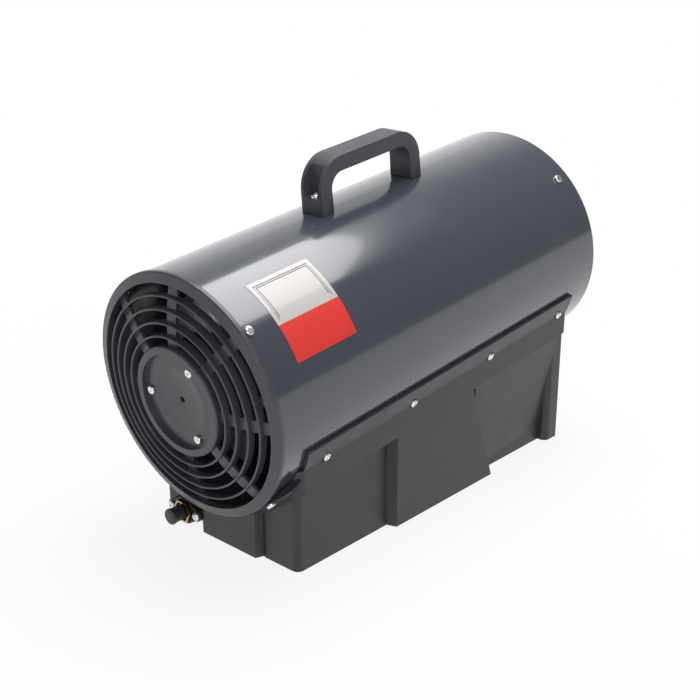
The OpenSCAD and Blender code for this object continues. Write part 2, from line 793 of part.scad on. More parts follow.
module fan_clip() {
    color(steel) on_axis() difference() {
        along(fan_front + fan_hub_len, fan_front + fan_hub_len + clip_w, shaft_d / 2 + clip_w);
        along(fan_front, shaft_end + over, shaft_d / 2 + press);
    }
}

// Places from the fan's shaft to the flame tube: the gas pipe, the burner cup and the diffuser disc
pipe_to_cup = 28;
cup_to_disc = 30;
flame_lead = 10;
pipe_rise_place = shaft_end + shaft_gap + pipe_d / 2;
cup_from = pipe_rise_place + pipe_to_cup;
disc_place = cup_from + cup_to_disc;

// Flame tube with its cooling holes, and the burner at its inlet end
flame_wall = 1;
rolled_r = 2;
flame_r = bore_r - flame_gap;
flame_end_set = 3;
flame_to = tube_half - flame_end_set;
flame_from = disc_place - flame_lead;
flame_hole_r = 5;
flame_hole_count = 12;
flame_hole_rows = 2;
flame_hole_pitch = 32;

module flame_tube() {
    color([0.62, 0.60, 0.57]) on_axis() difference() {
        union() {
            along(flame_from, flame_to, flame_r);
            // Rolled edge at the outlet
            translate([flame_to - rolled_r, 0, 0]) turned() translate([flame_r, 0]) circle(rolled_r);
        }
        along(flame_from - over, flame_to + over, flame_r - flame_wall);
        for (k = [1 : flame_hole_rows])
            for (i = [0 : flame_hole_count - 1])
                translate([flame_from + k * flame_hole_pitch, 0, 0])
                    rotate([(i + k / 2) * 360 / flame_hole_count, 0, 0])
                    translate([0, 0, flame_r / 2]) cylinder(h = flame_r, r = flame_hole_r);
    }
}

// Brackets that carry the flame tube: four at the outlet, four at its burner end
bracket_w = 16;
bracket_l = 14;
bracket_sheet = 1.5;
// The first lip screws that lie behind the flame tube's burner end
burner_end_screw = lip_screw_pitch * (ceil((flame_from + bracket_l / 2) / lip_screw_pitch + 0.5) - 0.5);

module strap(place, angle) translate([place, 0, 0]) radial(angle) difference() {
    union() {
        intersection() {
            translate([-bracket_l / 2, -bracket_w / 2, 0]) cube([bracket_l, bracket_w, tube_r]);
            difference() {
                along(-bracket_l, bracket_l, bore_r - fit / 2);
                along(-far, far, bore_r - fit / 2 - bracket_sheet);
            }
        }
        translate([-bracket_l / 2, -bracket_w / 2, flame_r])
            cube([bracket_sheet, bracket_w, bore_r - flame_r - bracket_sheet]);
        intersection() {
            translate([-bracket_l / 2, -bracket_w / 2, 0]) cube([bracket_l, bracket_w, tube_r]);
            difference() {
                along(-bracket_l, bracket_l, flame_r + fit / 2 + bracket_sheet);
                along(-far, far, flame_r + fit / 2);
            }
        }
    }
    along(-far, far, flame_r + fit / 2);
    translate([0, 0, tube_r]) screw_hole(screw_d, screw_reach);
}

module flame_tube_brackets() {
    color([0.70, 0.70, 0.68]) on_axis() {
        for (a = end_angles) strap(outlet_screw_place, a);
        for (a = [-lip_screw_angle, 180 + lip_screw_angle]) strap(burner_end_screw, a);
    }
}

// Diffuser disc: closes the flame tube's inlet end round the burner cup
disc_t = 1.2;
disc_rim = 9;
swirl_count = 12;
swirl_w = 6;

module diffuser_disc() {
    color([0.58, 0.56, 0.53]) on_axis() difference() {
        union() {
            along(disc_place, disc_place + disc_t, flame_r - flame_wall - fit / 2);
            turned() translate([flame_r - flame_wall - fit / 2 - disc_t, disc_place]) square([disc_t, disc_rim]);
        }
        along(disc_place - over, disc_place + over + disc_t, cup_d / 2 + fit / 2);
        for (i = [0 : swirl_count - 1]) rotate([i * 360 / swirl_count, 0, 0])
            translate([disc_place - over, flame_r * 0.55, -swirl_w / 2])
                cube([disc_t + 2 * over, flame_r * 0.33, swirl_w]);
        for (side = [-1, 1]) rotate([side * probe_angle, 0, 0]) translate([0, probe_r, 0])
            along(disc_place - over, disc_place + over + disc_t, probe_d / 2 + fit / 2);
    }
}
probe_gap = 10;
probe_r = cup_d / 2 + probe_gap;
probe_angle = 45;
probe_d = 6;

// Burner cup: open towards the outlet, with the nozzle screwed into its back
burner_len = 46;
cup_wall = 1.5;
cup_flange = 4;
cup_hole_set = 16;
cup_hole_r = 4;

module burner_cup() {
    color([0.60, 0.58, 0.55]) on_axis() difference() {
        union() {
            along(cup_from, cup_from + burner_len, cup_d / 2);
            along(disc_place - fit - cup_wall, disc_place - fit, cup_d / 2 + cup_flange);
        }
        along(cup_from + cup_wall, cup_from + burner_len + over, cup_d / 2 - cup_wall);
        along(cup_from - over, cup_from + cup_wall + over, nozzle_d / 2 + screw_gap);
        for (i = [0 : 7]) translate([cup_from + cup_hole_set, 0, 0]) rotate([i * 45, 0, 0])
            cylinder(h = cup_d, r = cup_hole_r);
    }
}

nozzle_d = 10;
nozzle_hex = 14;
nozzle_back = 12;
nozzle_front = 10;
nozzle_tip = 6;
nozzle_bore_r = 1;
// Depth of web left between the pipe's seat and the burner cup
pipe_stop = 4;
module gas_nozzle() {
    color(brass) on_axis() difference() {
        union() {
            along(cup_from - nozzle_back, cup_from, nozzle_hex / 2 / cos(30), $fn = 6);
            along(cup_from - over, cup_from + nozzle_front, nozzle_d / 2);
            translate([cup_from + nozzle_front, 0, 0]) rotate([0, 90, 0])
                cylinder(h = nozzle_tip, r1 = nozzle_d / 2, r2 = nozzle_d / 4);
        }
        along(cup_from - nozzle_back - over, cup_from - pipe_stop, pipe_d / 2 + screw_gap);
        along(cup_from - nozzle_back, cup_from + nozzle_front + nozzle_tip + over, nozzle_bore_r);
    }
}

// Pipes: a ring of points swept along a route whose corners are bent to a radius
pipe_sides = 12;
bend_steps = 6;
bend_r = 2.2 * pipe_d;
function unit(v) = v / norm(v);

// Points of a route, with each inner corner replaced by a curve
function bent(p) = concat([p[0]], [for (i = [1 : len(p) - 2]) let(
        r = min(bend_r, 0.45 * norm(p[i] - p[i - 1]), 0.45 * norm(p[i + 1] - p[i])),
        a = p[i] + r * unit(p[i - 1] - p[i]),
        b = p[i] + r * unit(p[i + 1] - p[i]))
    for (k = [0 : bend_steps]) let(t = k / bend_steps) pow(1 - t, 2) * a + 2 * t * (1 - t) * p[i] + t * t * b],
    [p[len(p) - 1]]);

module pipe(route) {
    p = bent(route);
    n = len(p);
    up = unit([0.35, 0.85, 0.4]);
    points = [for (i = [0 : n - 1]) let(
            along = unit(p[min(i + 1, n - 1)] - p[max(i - 1, 0)]),
            a = unit(cross(along, up)),
            b = cross(along, a))
        for (k = [0 : pipe_sides - 1]) let(turn = k * 360 / pipe_sides)
            p[i] + pipe_d / 2 * (cos(turn) * a + sin(turn) * b)];
    walls = [for (i = [0 : n - 2]) for (k = [0 : pipe_sides - 1]) let(
            a = i * pipe_sides + k,
            b = i * pipe_sides + (k + 1) % pipe_sides)
        each [[a, b, b + pipe_sides], [a, b + pipe_sides, a + pipe_sides]]];
    ends = [[for (k = [pipe_sides - 1 : -1 : 0]) k], [for (k = [0 : pipe_sides - 1]) (n - 1) * pipe_sides + k]];
    polyhedron(points = points, faces = concat(walls, ends));
}

// Points on the tube's axis frame, written in the base's frame
function to_base(p) = [p[0] * cos(tube_tilt) - p[2] * sin(tube_tilt), p[1],
    p[0] * sin(tube_tilt) + p[2] * cos(tube_tilt) + axis_height];

valve_block = [28, 32, 28];
pipe_drop = 18;
pipe_gap = 0.5;
inlet_pipe_in = 7;
inlet_run = 26;
valve_run = 14;
valve_port = 6;
valve_back = control_face - base_wall - valve_block[1];

module burner_pipe() {
    foot = to_base([pipe_rise_place, 0, -tube_r - pipe_drop]);
    port = valve_x + valve_block[0] / 5;
    color(copper) pipe([to_base([cup_from - pipe_stop - pipe_gap, 0, 0]), to_base([pipe_rise_place, 0, 0]), foot,
        [port, valve_back - 3 * pipe_d, control_z], [port, valve_back, control_z]]);
}

module inlet_pipe() {
    start = inlet_seat + inlet_pipe_in;
    valve_side = valve_x - valve_block[0] / 2;
    color(copper) pipe([[start, inlet_y, inlet_z], [start + inlet_run, inlet_y, inlet_z],
        [valve_side - valve_run, valve_back + valve_port, control_z],
        [valve_side, valve_back + valve_port, control_z]]);
}

probe_tail = 14;
probe_nose = 6;
probe_tip = 34;
probe_collar_t = 4;
probe_collar_w = 2;
electrode_tail = 20;
electrode_collar_t = 5;
electrode_nose = 12;
electrode_tip = 30;
electrode_hook = 10;

module thermocouple() {
    color([0.78, 0.72, 0.60]) on_axis() rotate([probe_angle, 0, 0]) translate([0, probe_r, 0]) {
        along(disc_place - probe_tail, disc_place + probe_nose, probe_d / 2);
        along(disc_place - probe_collar_t, disc_place - fit, probe_d / 2 + probe_collar_w);
        along(disc_place + probe_nose - over, disc_place + probe_tip, probe_d / 4);
    }
}

module ignition_electrode() {
    color([0.92, 0.90, 0.86]) on_axis() rotate([-probe_angle, 0, 0]) translate([0, probe_r, 0]) {
        along(disc_place - electrode_tail, disc_place + electrode_nose, probe_d / 2);
        along(disc_place - electrode_collar_t, disc_place - fit, probe_d / 2 + probe_collar_w);
        along(disc_place + electrode_nose - over, disc_place + electrode_tip, probe_d / 5);
        translate([disc_place + electrode_tip - over / 2, 0, 0]) rotate([0, 0, 180])
            across(-over, electrode_hook, probe_d / 5);
    }
}

// Thermostat that cuts the gas when the casing overheats, under the tube inside the base
thermostat_place = 0.45 * half_len;
thermostat_d = 16;
thermostat_h = 6;
thermostat_flange_d = 24;
thermostat_flange_t = 1;
tab = [0.8, 6, 9];
tab_pitch = 8;

module limit_thermostat() {
    color([0.80, 0.80, 0.78]) on_axis() translate([thermostat_place, 0, -tube_r - fit / 2]) mirror([0, 0, 1]) {
        cylinder(h = thermostat_h, d = thermostat_d);
        cylinder(h = thermostat_flange_t, d = thermostat_flange_d);
        for (side = [-1, 1])
            translate([(side * tab_pitch - tab[0]) / 2, -tab[1] / 2, thermostat_h - over]) cube(tab);
    }
}

// Flame safety valve: block, threaded bush through the wall and its nut outside
bush_out = 4;
bush_nut_t = 3.2;
valve_bore_len = 14;
igniter_bore_len = 16;
valve_stem_r = 5.5;
valve_cap_r = 7.5;
igniter_stem_r = 4.5;
igniter_cap_r = 6.5;
button_t = 4;
button_stem_in = 7;
igniter_len = 42;

module gas_valve() {
    stem_d = valve_bush_d - 2 * bush_step - 2 * fit;
    color(brass) translate([valve_x, 0, control_z]) difference() {
        union() {
            translate([-valve_block[0] / 2, valve_back, -valve_block[2] / 2])
                cube([valve_block[0], valve_block[1] - fit, valve_block[2]]);
            across(valve_back, control_face + bush_out, stem_d / 2);
            across(control_face + fit, control_face + fit + bush_nut_t, valve_bush_d / 2);
        }
        across(control_face - valve_bore_len, control_face + far, valve_stem_r);
    }
}

// Button with a stem that runs in the bush
module push_button(x, stem_r, cap_r, travel) translate([x, 0, control_z]) {
    cap_place = control_face + bush_out + fit + travel;
    across(control_face - button_stem_in, cap_place + button_t / 2, stem_r);
    across(cap_place, cap_place + button_t, cap_r);
}

module valve_button() {
    color([0.12, 0.12, 0.13]) push_button(valve_x, valve_stem_r - running, valve_cap_r, valve_travel);
}

module igniter_body() {
    stem_d = igniter_bush_d - 2 * bush_step - 2 * fit;
    color([0.85, 0.84, 0.80]) translate([igniter_x, 0, control_z]) difference() {
        union() {
            across(control_face - base_wall - igniter_len, control_face - base_wall - fit, igniter_bush_d / 2);
            across(control_face - base_wall - over, control_face + bush_out, stem_d / 2);
            across(control_face + fit, control_face + fit + bush_nut_t, igniter_bush_d / 2);
        }
        across(control_face - igniter_bore_len, control_face + far, igniter_stem_r);
    }
}

module igniter_button() {
    color([0.75, 0.10, 0.08]) push_button(igniter_x, igniter_stem_r - running, igniter_cap_r, igniter_travel);
}

// Rocker switch in a snap-in housing
rocker_set = 6;
rocker_y = control_face - rocker_set;
switch_bezel = 2;
switch_frame = 3;
switch_depth = 22;
switch_well = 14;
pin_r = 1.5;
pin_bore_set = 1.6;
pin_set = 2;
rocker_back = 4;
rocker_t = 16;
rocker_gap = 0.8;
rocker_dish_r = 36;
rocker_dish_set = 46;

module switch_housing() {
    inner_w = switch_w - 2 * switch_frame;
    inner_h = switch_h - 2 * switch_frame;
    color([0.13, 0.13, 0.14]) translate([switch_x, 0, control_z]) difference() {
        union() {
            translate([-switch_w / 2 + fit, control_face - switch_depth, -switch_h / 2 + fit])
                cube([switch_w - 2 * fit, switch_depth + switch_bezel, switch_h - 2 * fit]);
            translate([-switch_w / 2 - switch_bezel, control_face + fit / 3, -switch_h / 2 - switch_bezel])
                cube([switch_w + 2 * switch_bezel, switch_bezel, switch_h + 2 * switch_bezel]);
        }
        translate([-inner_w / 2, control_face - switch_well, -inner_h / 2]) cube([inner_w, far, inner_h]);
        translate([-switch_w / 2 + pin_bore_set, rocker_y, 0]) along(0, switch_w - 2 * pin_bore_set, pin_r + running);
    }
}

module switch_rocker() {
    inner_w = switch_w - 2 * switch_frame;
    inner_h = switch_h - 2 * switch_frame;
    color([0.62, 0.08, 0.06]) translate([switch_x, rocker_y, control_z]) {
        along(-switch_w / 2 + pin_set, switch_w / 2 - pin_set, pin_r);
        rotate([-rocker_angle / 2, 0, 0]) difference() {
            intersection() {
                translate([-inner_w / 2 + fit, -rocker_back, -inner_h / 2 + rocker_gap])
                    cube([inner_w - 2 * fit, rocker_t, inner_h - 2 * rocker_gap]);
                along(-inner_w, inner_w, inner_h / 2 - fit);
            }
            translate([0, rocker_dish_set, 0]) along(-inner_w, inner_w, rocker_dish_r);
        }
    }
}

// Cable gland without a cable
gland_tail = 6;
gland_nut_t = 4;
gland_nose = 9;
gland_step = 2;
gland_bore_r = 3.6;

module cable_gland() {
    color([0.10, 0.10, 0.11]) translate([gland_x, 0, gland_z]) difference() {
        union() {
            across(half_w - base_wall - gland_tail, half_w + gland_step, gland_d / 2 - bush_step - fit);
            across(half_w + fit / 2, half_w + gland_nut_t, gland_d / 2);
            across(half_w + gland_nut_t, half_w + gland_nose, gland_d / 2 - gland_step);
            across(half_w - base_wall - gland_nut_t, half_w - base_wall - fit, gland_d / 2);
        }
        across(half_w - far / 10, half_w + far / 10, gland_bore_r);
    }
}

// Gas inlet: brass connector through the flange, with a cap on its thread
inlet_hex_t = 6;
thread_len = 9;
inlet_bore_d = 8.1;
cap_t = 2.2;
module gas_inlet_fitting() {
    color(brass) at_inlet(inlet_seat) difference() {
        union() {
            translate([0, 0, -inlet_depth]) cylinder(h = inlet_depth + inlet_flange_t + over, d = inlet_body_d);
            translate([0, 0, inlet_flange_t]) rotate([0, 0, 30])
                cylinder(h = inlet_hex_t, d = inlet_hex / cos(30), $fn = 6);
            translate([0, 0, inlet_flange_t]) cylinder(h = inlet_hex_t + thread_len, d = inlet_thread_d);
        }
        translate([0, 0, -deep_recess]) cylinder(h = far, d = inlet_bore_d);
        translate([0, 0, -inlet_depth - over]) cylinder(h = deep_recess, r = pipe_d / 2 + screw_gap);
    }
}

module inlet_flange() {
    color([0.14, 0.14, 0.15]) at_inlet(inlet_seat) difference() {
        linear_extrude(height = inlet_flange_t) inlet_outline();
        translate([0, 0, -over]) cylinder(h = inlet_flange_t + 2 * over, r = inlet_body_d / 2 + screw_gap);
        for (side = [-1, 1]) translate([side * inlet_pitch / 2, 0, 0]) screw_hole(small_d, inlet_screw_reach);
    }
}

module inlet_flange_screws() {
    color(steel) at_inlet(inlet_seat) for (side = [-1, 1]) translate([side * inlet_pitch / 2, 0, inlet_flange_t])
        pan_screw(motor_head_d, small_head_h, small_d, inlet_screw_reach);
}

module dust_cap() {
    skirt = thread_len - fit;
    color([0.08, 0.08, 0.09]) at_inlet(inlet_seat - inlet_flange_t - inlet_hex_t - fit) difference() {
        cylinder(h = skirt + cap_t, d = cap_d);
        translate([0, 0, -over]) cylinder(h = skirt + over, r = inlet_thread_d / 2 + running);
    }
}

outer_shell();
base_tub();
bottom_plate();
bottom_screws();
fan_guard();
hub_screws();
guard_screws();
outlet_screws();
flange_screws();
carry_handle();
handle_screws();
handle_nuts();
motor_core();
motor_windings();
motor_front_bracket();
motor_rear_bracket();
motor_shaft();
fan_impeller();
fan_clip();
flame_tube();
flame_tube_brackets();
diffuser_disc();
burner_cup();
gas_nozzle();
burner_pipe();
inlet_pipe();
thermocouple();
ignition_electrode();
limit_thermostat();
gas_valve();
valve_button();
igniter_body();
igniter_button();
switch_housing();
switch_rocker();
cable_gland();
gas_inlet_fitting();
inlet_flange();
inlet_flange_screws();
dust_cap();
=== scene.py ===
"""Finish, printed and fine pieces, light and camera for a portable gas forced air heater."""

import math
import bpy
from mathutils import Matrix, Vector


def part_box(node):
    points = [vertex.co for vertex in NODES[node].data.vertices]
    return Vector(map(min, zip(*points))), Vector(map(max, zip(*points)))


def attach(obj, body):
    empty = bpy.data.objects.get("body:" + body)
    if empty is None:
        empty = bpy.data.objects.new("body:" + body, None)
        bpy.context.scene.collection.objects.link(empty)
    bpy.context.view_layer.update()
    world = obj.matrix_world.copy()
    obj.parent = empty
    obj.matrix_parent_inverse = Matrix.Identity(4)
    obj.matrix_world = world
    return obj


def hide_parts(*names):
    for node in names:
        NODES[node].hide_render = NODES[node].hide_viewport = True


bl_info = {
    "name": "Gas Forced Air Heater",
    "version": (1, 0, 0),
    "blender": (4, 5, 0),
    "location": "View3D > Sidebar > Heater",
    "description": "Dresses the heater's frame with its finishes, handle, screws, coils, fittings and label",
    "category": "Object",
}

import bmesh
import bpy
from bpy.props import FloatProperty, FloatVectorProperty, IntProperty, PointerProperty
from mathutils import Matrix, Vector

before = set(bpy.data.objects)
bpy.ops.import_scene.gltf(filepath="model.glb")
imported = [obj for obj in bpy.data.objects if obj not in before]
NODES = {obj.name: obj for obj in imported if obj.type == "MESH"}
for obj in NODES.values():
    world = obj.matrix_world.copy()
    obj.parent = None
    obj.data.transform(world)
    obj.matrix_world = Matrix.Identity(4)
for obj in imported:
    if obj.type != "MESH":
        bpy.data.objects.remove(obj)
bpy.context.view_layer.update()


# Sizes and colours


class HeaterSizes(bpy.types.PropertyGroup):
    """Sizes and places of the heater's fine pieces"""

    tube_radius: FloatProperty(
        name="Tube Radius",
        description="Outer radius of the casing tube",
        default=0.100,
        unit="LENGTH",
    )
    tube_half: FloatProperty(
        name="Half Tube Length",
        description="Half of the casing tube's length",
        default=0.2025,
        unit="LENGTH",
    )
    tilt: FloatProperty(
        name="Tilt",
        description="Rise of the tube towards the hot outlet",
        default=math.radians(6.0),
        subtype="ANGLE",
    )
    axis_height: FloatProperty(
        name="Axis Height",
        description="Height of the tube's middle above the ground",
        default=0.157,
        unit="LENGTH",
    )
    lip_seat: FloatProperty(
        name="Lip Screw Seat",
        description="Distance of the lip screws' seats from the tube's axis",
        default=0.1028,
        unit="LENGTH",
    )
    collar_seat: FloatProperty(
        name="Collar Screw Seat",
        description="Distance of the two lower guard screws' seats from the tube's axis",
        default=0.1032,
        unit="LENGTH",
    )
    lip_pitch: FloatProperty(
        name="Lip Screw Pitch",
        description="Spacing of the screws along the base's lips",
        default=0.103,
        unit="LENGTH",
    )
    head_radius: FloatProperty(
        name="Screw Head Radius",
        description="Radius of the pan heads on the casing",
        default=0.0038,
        unit="LENGTH",
    )
    head_height: FloatProperty(
        name="Screw Head Height",
        description="Height of the pan heads on the casing",
        default=0.0026,
        unit="LENGTH",
    )
    label_from: FloatProperty(
        name="Label Start",
        description="Place along the tube where the label starts",
        default=-0.173,
        unit="LENGTH",
    )
    label_to: FloatProperty(
        name="Label End",
        description="Place along the tube where the label ends",
        default=-0.110,
        unit="LENGTH",
    )
    label_top: FloatProperty(
        name="Label Top",
        description="Angle of the label's upper edge above the horizontal",
        default=math.radians(64.0),
        subtype="ANGLE",
    )
    label_split: FloatProperty(
        name="Label Split",
        description="Angle at which the label's two fields meet",
        default=math.radians(41.3),
        subtype="ANGLE",
    )
    label_foot: FloatProperty(
        name="Label Foot",
        description="Angle of the label's lower edge above the horizontal",
        default=math.radians(24.0),
        subtype="ANGLE",
    )
    wire_radius: FloatProperty(
        name="Wire Radius",
        description="Radius of one turn of the motor's winding",
        default=0.0007,
        unit="LENGTH",
    )
    handle_half: FloatProperty(
        name="Half Handle Length",
        description="Half of the carry handle's length",
        default=0.0612,
        unit="LENGTH",
    )
    handle_middle: FloatProperty(
        name="Handle Middle",
        description="Place of the handle's middle along the tube",
        default=0.0062,
        unit="LENGTH",
    )
    handle_width: FloatProperty(
        name="Handle Width",
        description="Width of the handle's grip across the tube",
        default=0.0225,
        unit="LENGTH",
    )
    handle_thick: FloatProperty(
        name="Handle Thickness",
        description="Thickness of the handle's legs and grip",
        default=0.0127,
        unit="LENGTH",
    )
    handle_bend: FloatProperty(
        name="Handle Bend",
        description="Outer radius of the handle's bends",
        default=0.026,
        unit="LENGTH",
    )
    handle_top: FloatProperty(
        name="Handle Top",
        description="Distance of the grip's top from the tube's axis",
        default=0.1439,
        unit="LENGTH",
    )
    handle_flare: FloatProperty(
        name="Handle Flare",
        description="How much wider the handle is at its feet",
        default=1.07,
    )
    pocket_rise: FloatProperty(
        name="Pocket Rise",
        description="Distance of the screw pockets' middle from the tube's surface",
        default=0.0262,
        unit="LENGTH",
    )
    pocket_height: FloatProperty(
        name="Pocket Height",
        description="Height of the screw pockets in the handle's legs",
        default=0.0270,
        unit="LENGTH",
    )
    inlet_place: FloatVectorProperty(
        name="Inlet Place",
        description="Middle of the gas inlet on its plate",
        default=(-0.180, 0.0405, 0.0135),
        subtype="XYZ",
        unit="LENGTH",
    )
    inlet_screw_reach: FloatProperty(
        name="Inlet Screw Distance",
        description="Distance of the plate's screws from the inlet's middle",
        default=0.015,
        unit="LENGTH",
    )
    hexagon: FloatProperty(
        name="Inlet Hexagon",
        description="Width across the flats of the gas inlet's hexagon",
        default=0.0178,
        unit="LENGTH",
    )
    hexagon_depth: FloatProperty(
        name="Hexagon Depth",
        description="Depth of the inlet's hexagon in front of its plate",
        default=0.0034,
        unit="LENGTH",
    )
    cap_radius: FloatProperty(
        name="Cap Radius",
        description="Radius of the dust cap's grip",
        default=0.0061,
        unit="LENGTH",
    )
    cap_head: FloatProperty(
        name="Cap Head",
        description="Radius of the dust cap's head",
        default=0.0069,
        unit="LENGTH",
    )
    cap_ribs: IntProperty(
        name="Cap Ribs",
        description="Number of grip ribs round the dust cap",
        default=28,
        min=12,
        max=48,
    )


class HeaterColours(bpy.types.PropertyGroup):
    """Colours of the heater's finishes"""

    paint: FloatVectorProperty(
        name="Casing Paint",
        description="Blue grey gloss paint of the casing",
        subtype="COLOR",
        default=(0.050, 0.056, 0.071),
    )
    moulding: FloatVectorProperty(
        name="Black Moulding",
        description="Black plastic of base, guard and handle",
        subtype="COLOR",
        default=(0.031, 0.0275, 0.0335),
    )
    label_white: FloatVectorProperty(
        name="Label White",
        description="Upper field of the label",
        subtype="COLOR",
        default=(0.53, 0.51, 0.495),
    )
    label_red: FloatVectorProperty(
        name="Label Red",
        description="Lower field of the label",
        subtype="COLOR",
        default=(0.76, 0.040, 0.032),
    )
    brass: FloatVectorProperty(
        name="Brass",
        description="Turned brass of the gas pieces",
        subtype="COLOR",
        default=(0.72, 0.47, 0.16),
    )
    copper: FloatVectorProperty(
        name="Copper",
        description="Enamelled wire and gas pipes",
        subtype="COLOR",
        default=(0.70, 0.30, 0.14),
    )


def sizes():
    return bpy.context.scene.heater_sizes


def colours():
    return bpy.context.scene.heater_colours


# Finishes


def finish(name, colour, roughness, metallic=0.0, coat=0.0, specular=0.5):
    """A material whose even values stand on the shader's own sockets."""
    made = bpy.data.materials.new(name)
    made.use_nodes = True
    shader = made.node_tree.nodes["Principled BSDF"]
    shader.inputs["Base Color"].default_value = (*colour, 1.0)
    shader.inputs["Roughness"].default_value = roughness
    shader.inputs["Metallic"].default_value = metallic
    shader.inputs["Coat Weight"].default_value = coat
    shader.inputs["Coat Roughness"].default_value = 0.08
    shader.inputs["Specular IOR Level"].default_value = specular
    return made


def noise(made, scale, detail=4.0, stretch=(1.0, 1.0, 1.0)):
    """A noise pattern on the piece's own coordinates, in metres."""
    nodes, links = made.node_tree.nodes, made.node_tree.links
    where = nodes.new("ShaderNodeTexCoord")
    mapping = nodes.new("ShaderNodeMapping")
    mapping.inputs["Scale"].default_value = stretch
    pattern = nodes.new("ShaderNodeTexNoise")
    pattern.inputs["Scale"].default_value = scale
    pattern.inputs["Detail"].default_value = detail
    links.new(where.outputs["Object"], mapping.inputs["Vector"])
    links.new(mapping.outputs["Vector"], pattern.inputs["Vector"])
    return pattern.outputs["Fac"]


def spread(made, source, low, high, start=0.3, end=0.7, smooth=False):
    """Maps a pattern's values from start to end onto those from low to high."""
    node = made.node_tree.nodes.new("ShaderNodeMapRange")
    if smooth:
        node.interpolation_type = "SMOOTHSTEP"
    node.inputs["From Min"].default_value = start
    node.inputs["From Max"].default_value = end
    node.inputs["To Min"].default_value = low
    node.inputs["To Max"].default_value = high
    made.node_tree.links.new(source, node.inputs["Value"])
    return node.outputs["Result"]


def blend_colours(made, factor, first, second):
    """Mixes two colours by a pattern."""
    node = made.node_tree.nodes.new("ShaderNodeMix")
    node.data_type = "RGBA"
    node.inputs["A"].default_value = (*first, 1.0)
    node.inputs["B"].default_value = (*second, 1.0)
    made.node_tree.links.new(factor, node.inputs["Factor"])
    return node.outputs["Result"]


def relief(made, *layers, edge=0.0):
    """Chains bumps of (pattern, strength, height in metres) into the shader's normal, over a soft edge."""
    nodes, links = made.node_tree.nodes, made.node_tree.links
    last = None
    if edge:
        rounding = nodes.new("ShaderNodeBevel")
        rounding.samples = 6
        rounding.inputs["Radius"].default_value = edge
        last = rounding.outputs["Normal"]
    for pattern, strength, height in layers:
        bump = nodes.new("ShaderNodeBump")
        bump.inputs["Strength"].default_value = strength
        bump.inputs["Distance"].default_value = height
        links.new(pattern, bump.inputs["Height"])
        if last:
            links.new(last, bump.inputs["Normal"])
        last = bump.outputs["Normal"]
    links.new(last, nodes["Principled BSDF"].inputs["Normal"])


def feed(made, socket, source):
    made.node_tree.links.new(source, made.node_tree.nodes["Principled BSDF"].inputs[socket])


def darker(colour, share):
    return tuple(share * c for c in colour)


def casing_paint():
    colour = colours().paint
    made = finish("casing_paint", colour, 0.2, coat=0.7)
    cloud = noise(made, 14.0, 3.0)
    feed(made, "Base Color", blend_colours(made, cloud, darker(colour, 0.93), darker(colour, 1.07)))
    feed(made, "Roughness", spread(made, noise(made, 40.0, 3.0), 0.18, 0.23))
    relief(made, (noise(made, 260.0, 1.0), 0.04, 0.0003))
    return made


def black_moulding(name, colour, roughness, grain, depth):
    """Black plastic with the fine sparkle of a spark-eroded mould."""
    made = finish(name, colour, roughness)
    cloud = noise(made, 22.0, 4.0)
    feed(made, "Base Color", blend_colours(made, cloud, darker(colour, 0.85), darker(colour, 1.15)))
    feed(made, "Roughness", spread(made, noise(made, 45.0, 5.0), roughness - 0.05, roughness + 0.06))
    relief(made, (noise(made, grain, 3.0), 0.35, depth), edge=0.0007)
    return made


def plated_steel():
    made = finish("zinc_plate", (0.78, 0.79, 0.80), 0.2, metallic=1.0)
    feed(made, "Roughness", spread(made, noise(made, 900.0, 3.0), 0.14, 0.28))
    relief(made, (noise(made, 1500.0, 2.0), 0.12, 0.0001))
    return made


def bare_steel(name, colour, roughness, tint=None):
    """Rolled or drawn steel, streaked along the tube, with an optional heat tint."""
    made = finish(name, colour, roughness, metallic=1.0)
    streaks = noise(made, 60.0, 6.0, stretch=(0.15, 1.0, 1.0))
    feed(made, "Base Color", blend_colours(made, streaks, darker(colour, 0.8), tint or darker(colour, 1.1)))
    fine = noise(made, 240.0, 5.0, stretch=(0.1, 1.0, 1.0))
    feed(made, "Roughness", spread(made, fine, roughness - 0.07, roughness + 0.1))
    relief(made, (streaks, 0.15, 0.0003))
    return made


def laminations():
    """Stacked sheets: fine lines across the tube's axis."""
    made = finish("lamination_stack", (0.30, 0.31, 0.33), 0.42, metallic=0.9)
    nodes, links = made.node_tree.nodes, made.node_tree.links
    where = nodes.new("ShaderNodeTexCoord")
    turn = nodes.new("ShaderNodeMapping")
    turn.inputs["Rotation"].default_value = (0.0, sizes().tilt, 0.0)
    lines = nodes.new("ShaderNodeTexWave")
    lines.bands_direction = "X"
    lines.inputs["Scale"].default_value = 320.0
    lines.inputs["Distortion"].default_value = 0.4
    links.new(where.outputs["Object"], turn.inputs["Vector"])
    links.new(turn.outputs["Vector"], lines.inputs["Vector"])
    sheet = lines.outputs["Fac"]
    feed(made, "Base Color", blend_colours(made, sheet, (0.16, 0.16, 0.17), (0.36, 0.37, 0.39)))
    relief(made, (sheet, 0.5, 0.0002))
    return made


def soft_metal(name, colour, roughness):
    """Brass, copper or cast alloy with faint tarnish."""
    made = finish(name, colour, roughness, metallic=1.0)
    feed(made, "Base Color", blend_colours(made, noise(made, 130.0, 5.0), darker(colour, 0.72), colour))
    feed(made, "Roughness", spread(made, noise(made, 400.0, 4.0), roughness - 0.06, roughness + 0.12))
    relief(made, (noise(made, 700.0, 3.0), 0.12, 0.0001))
    return made


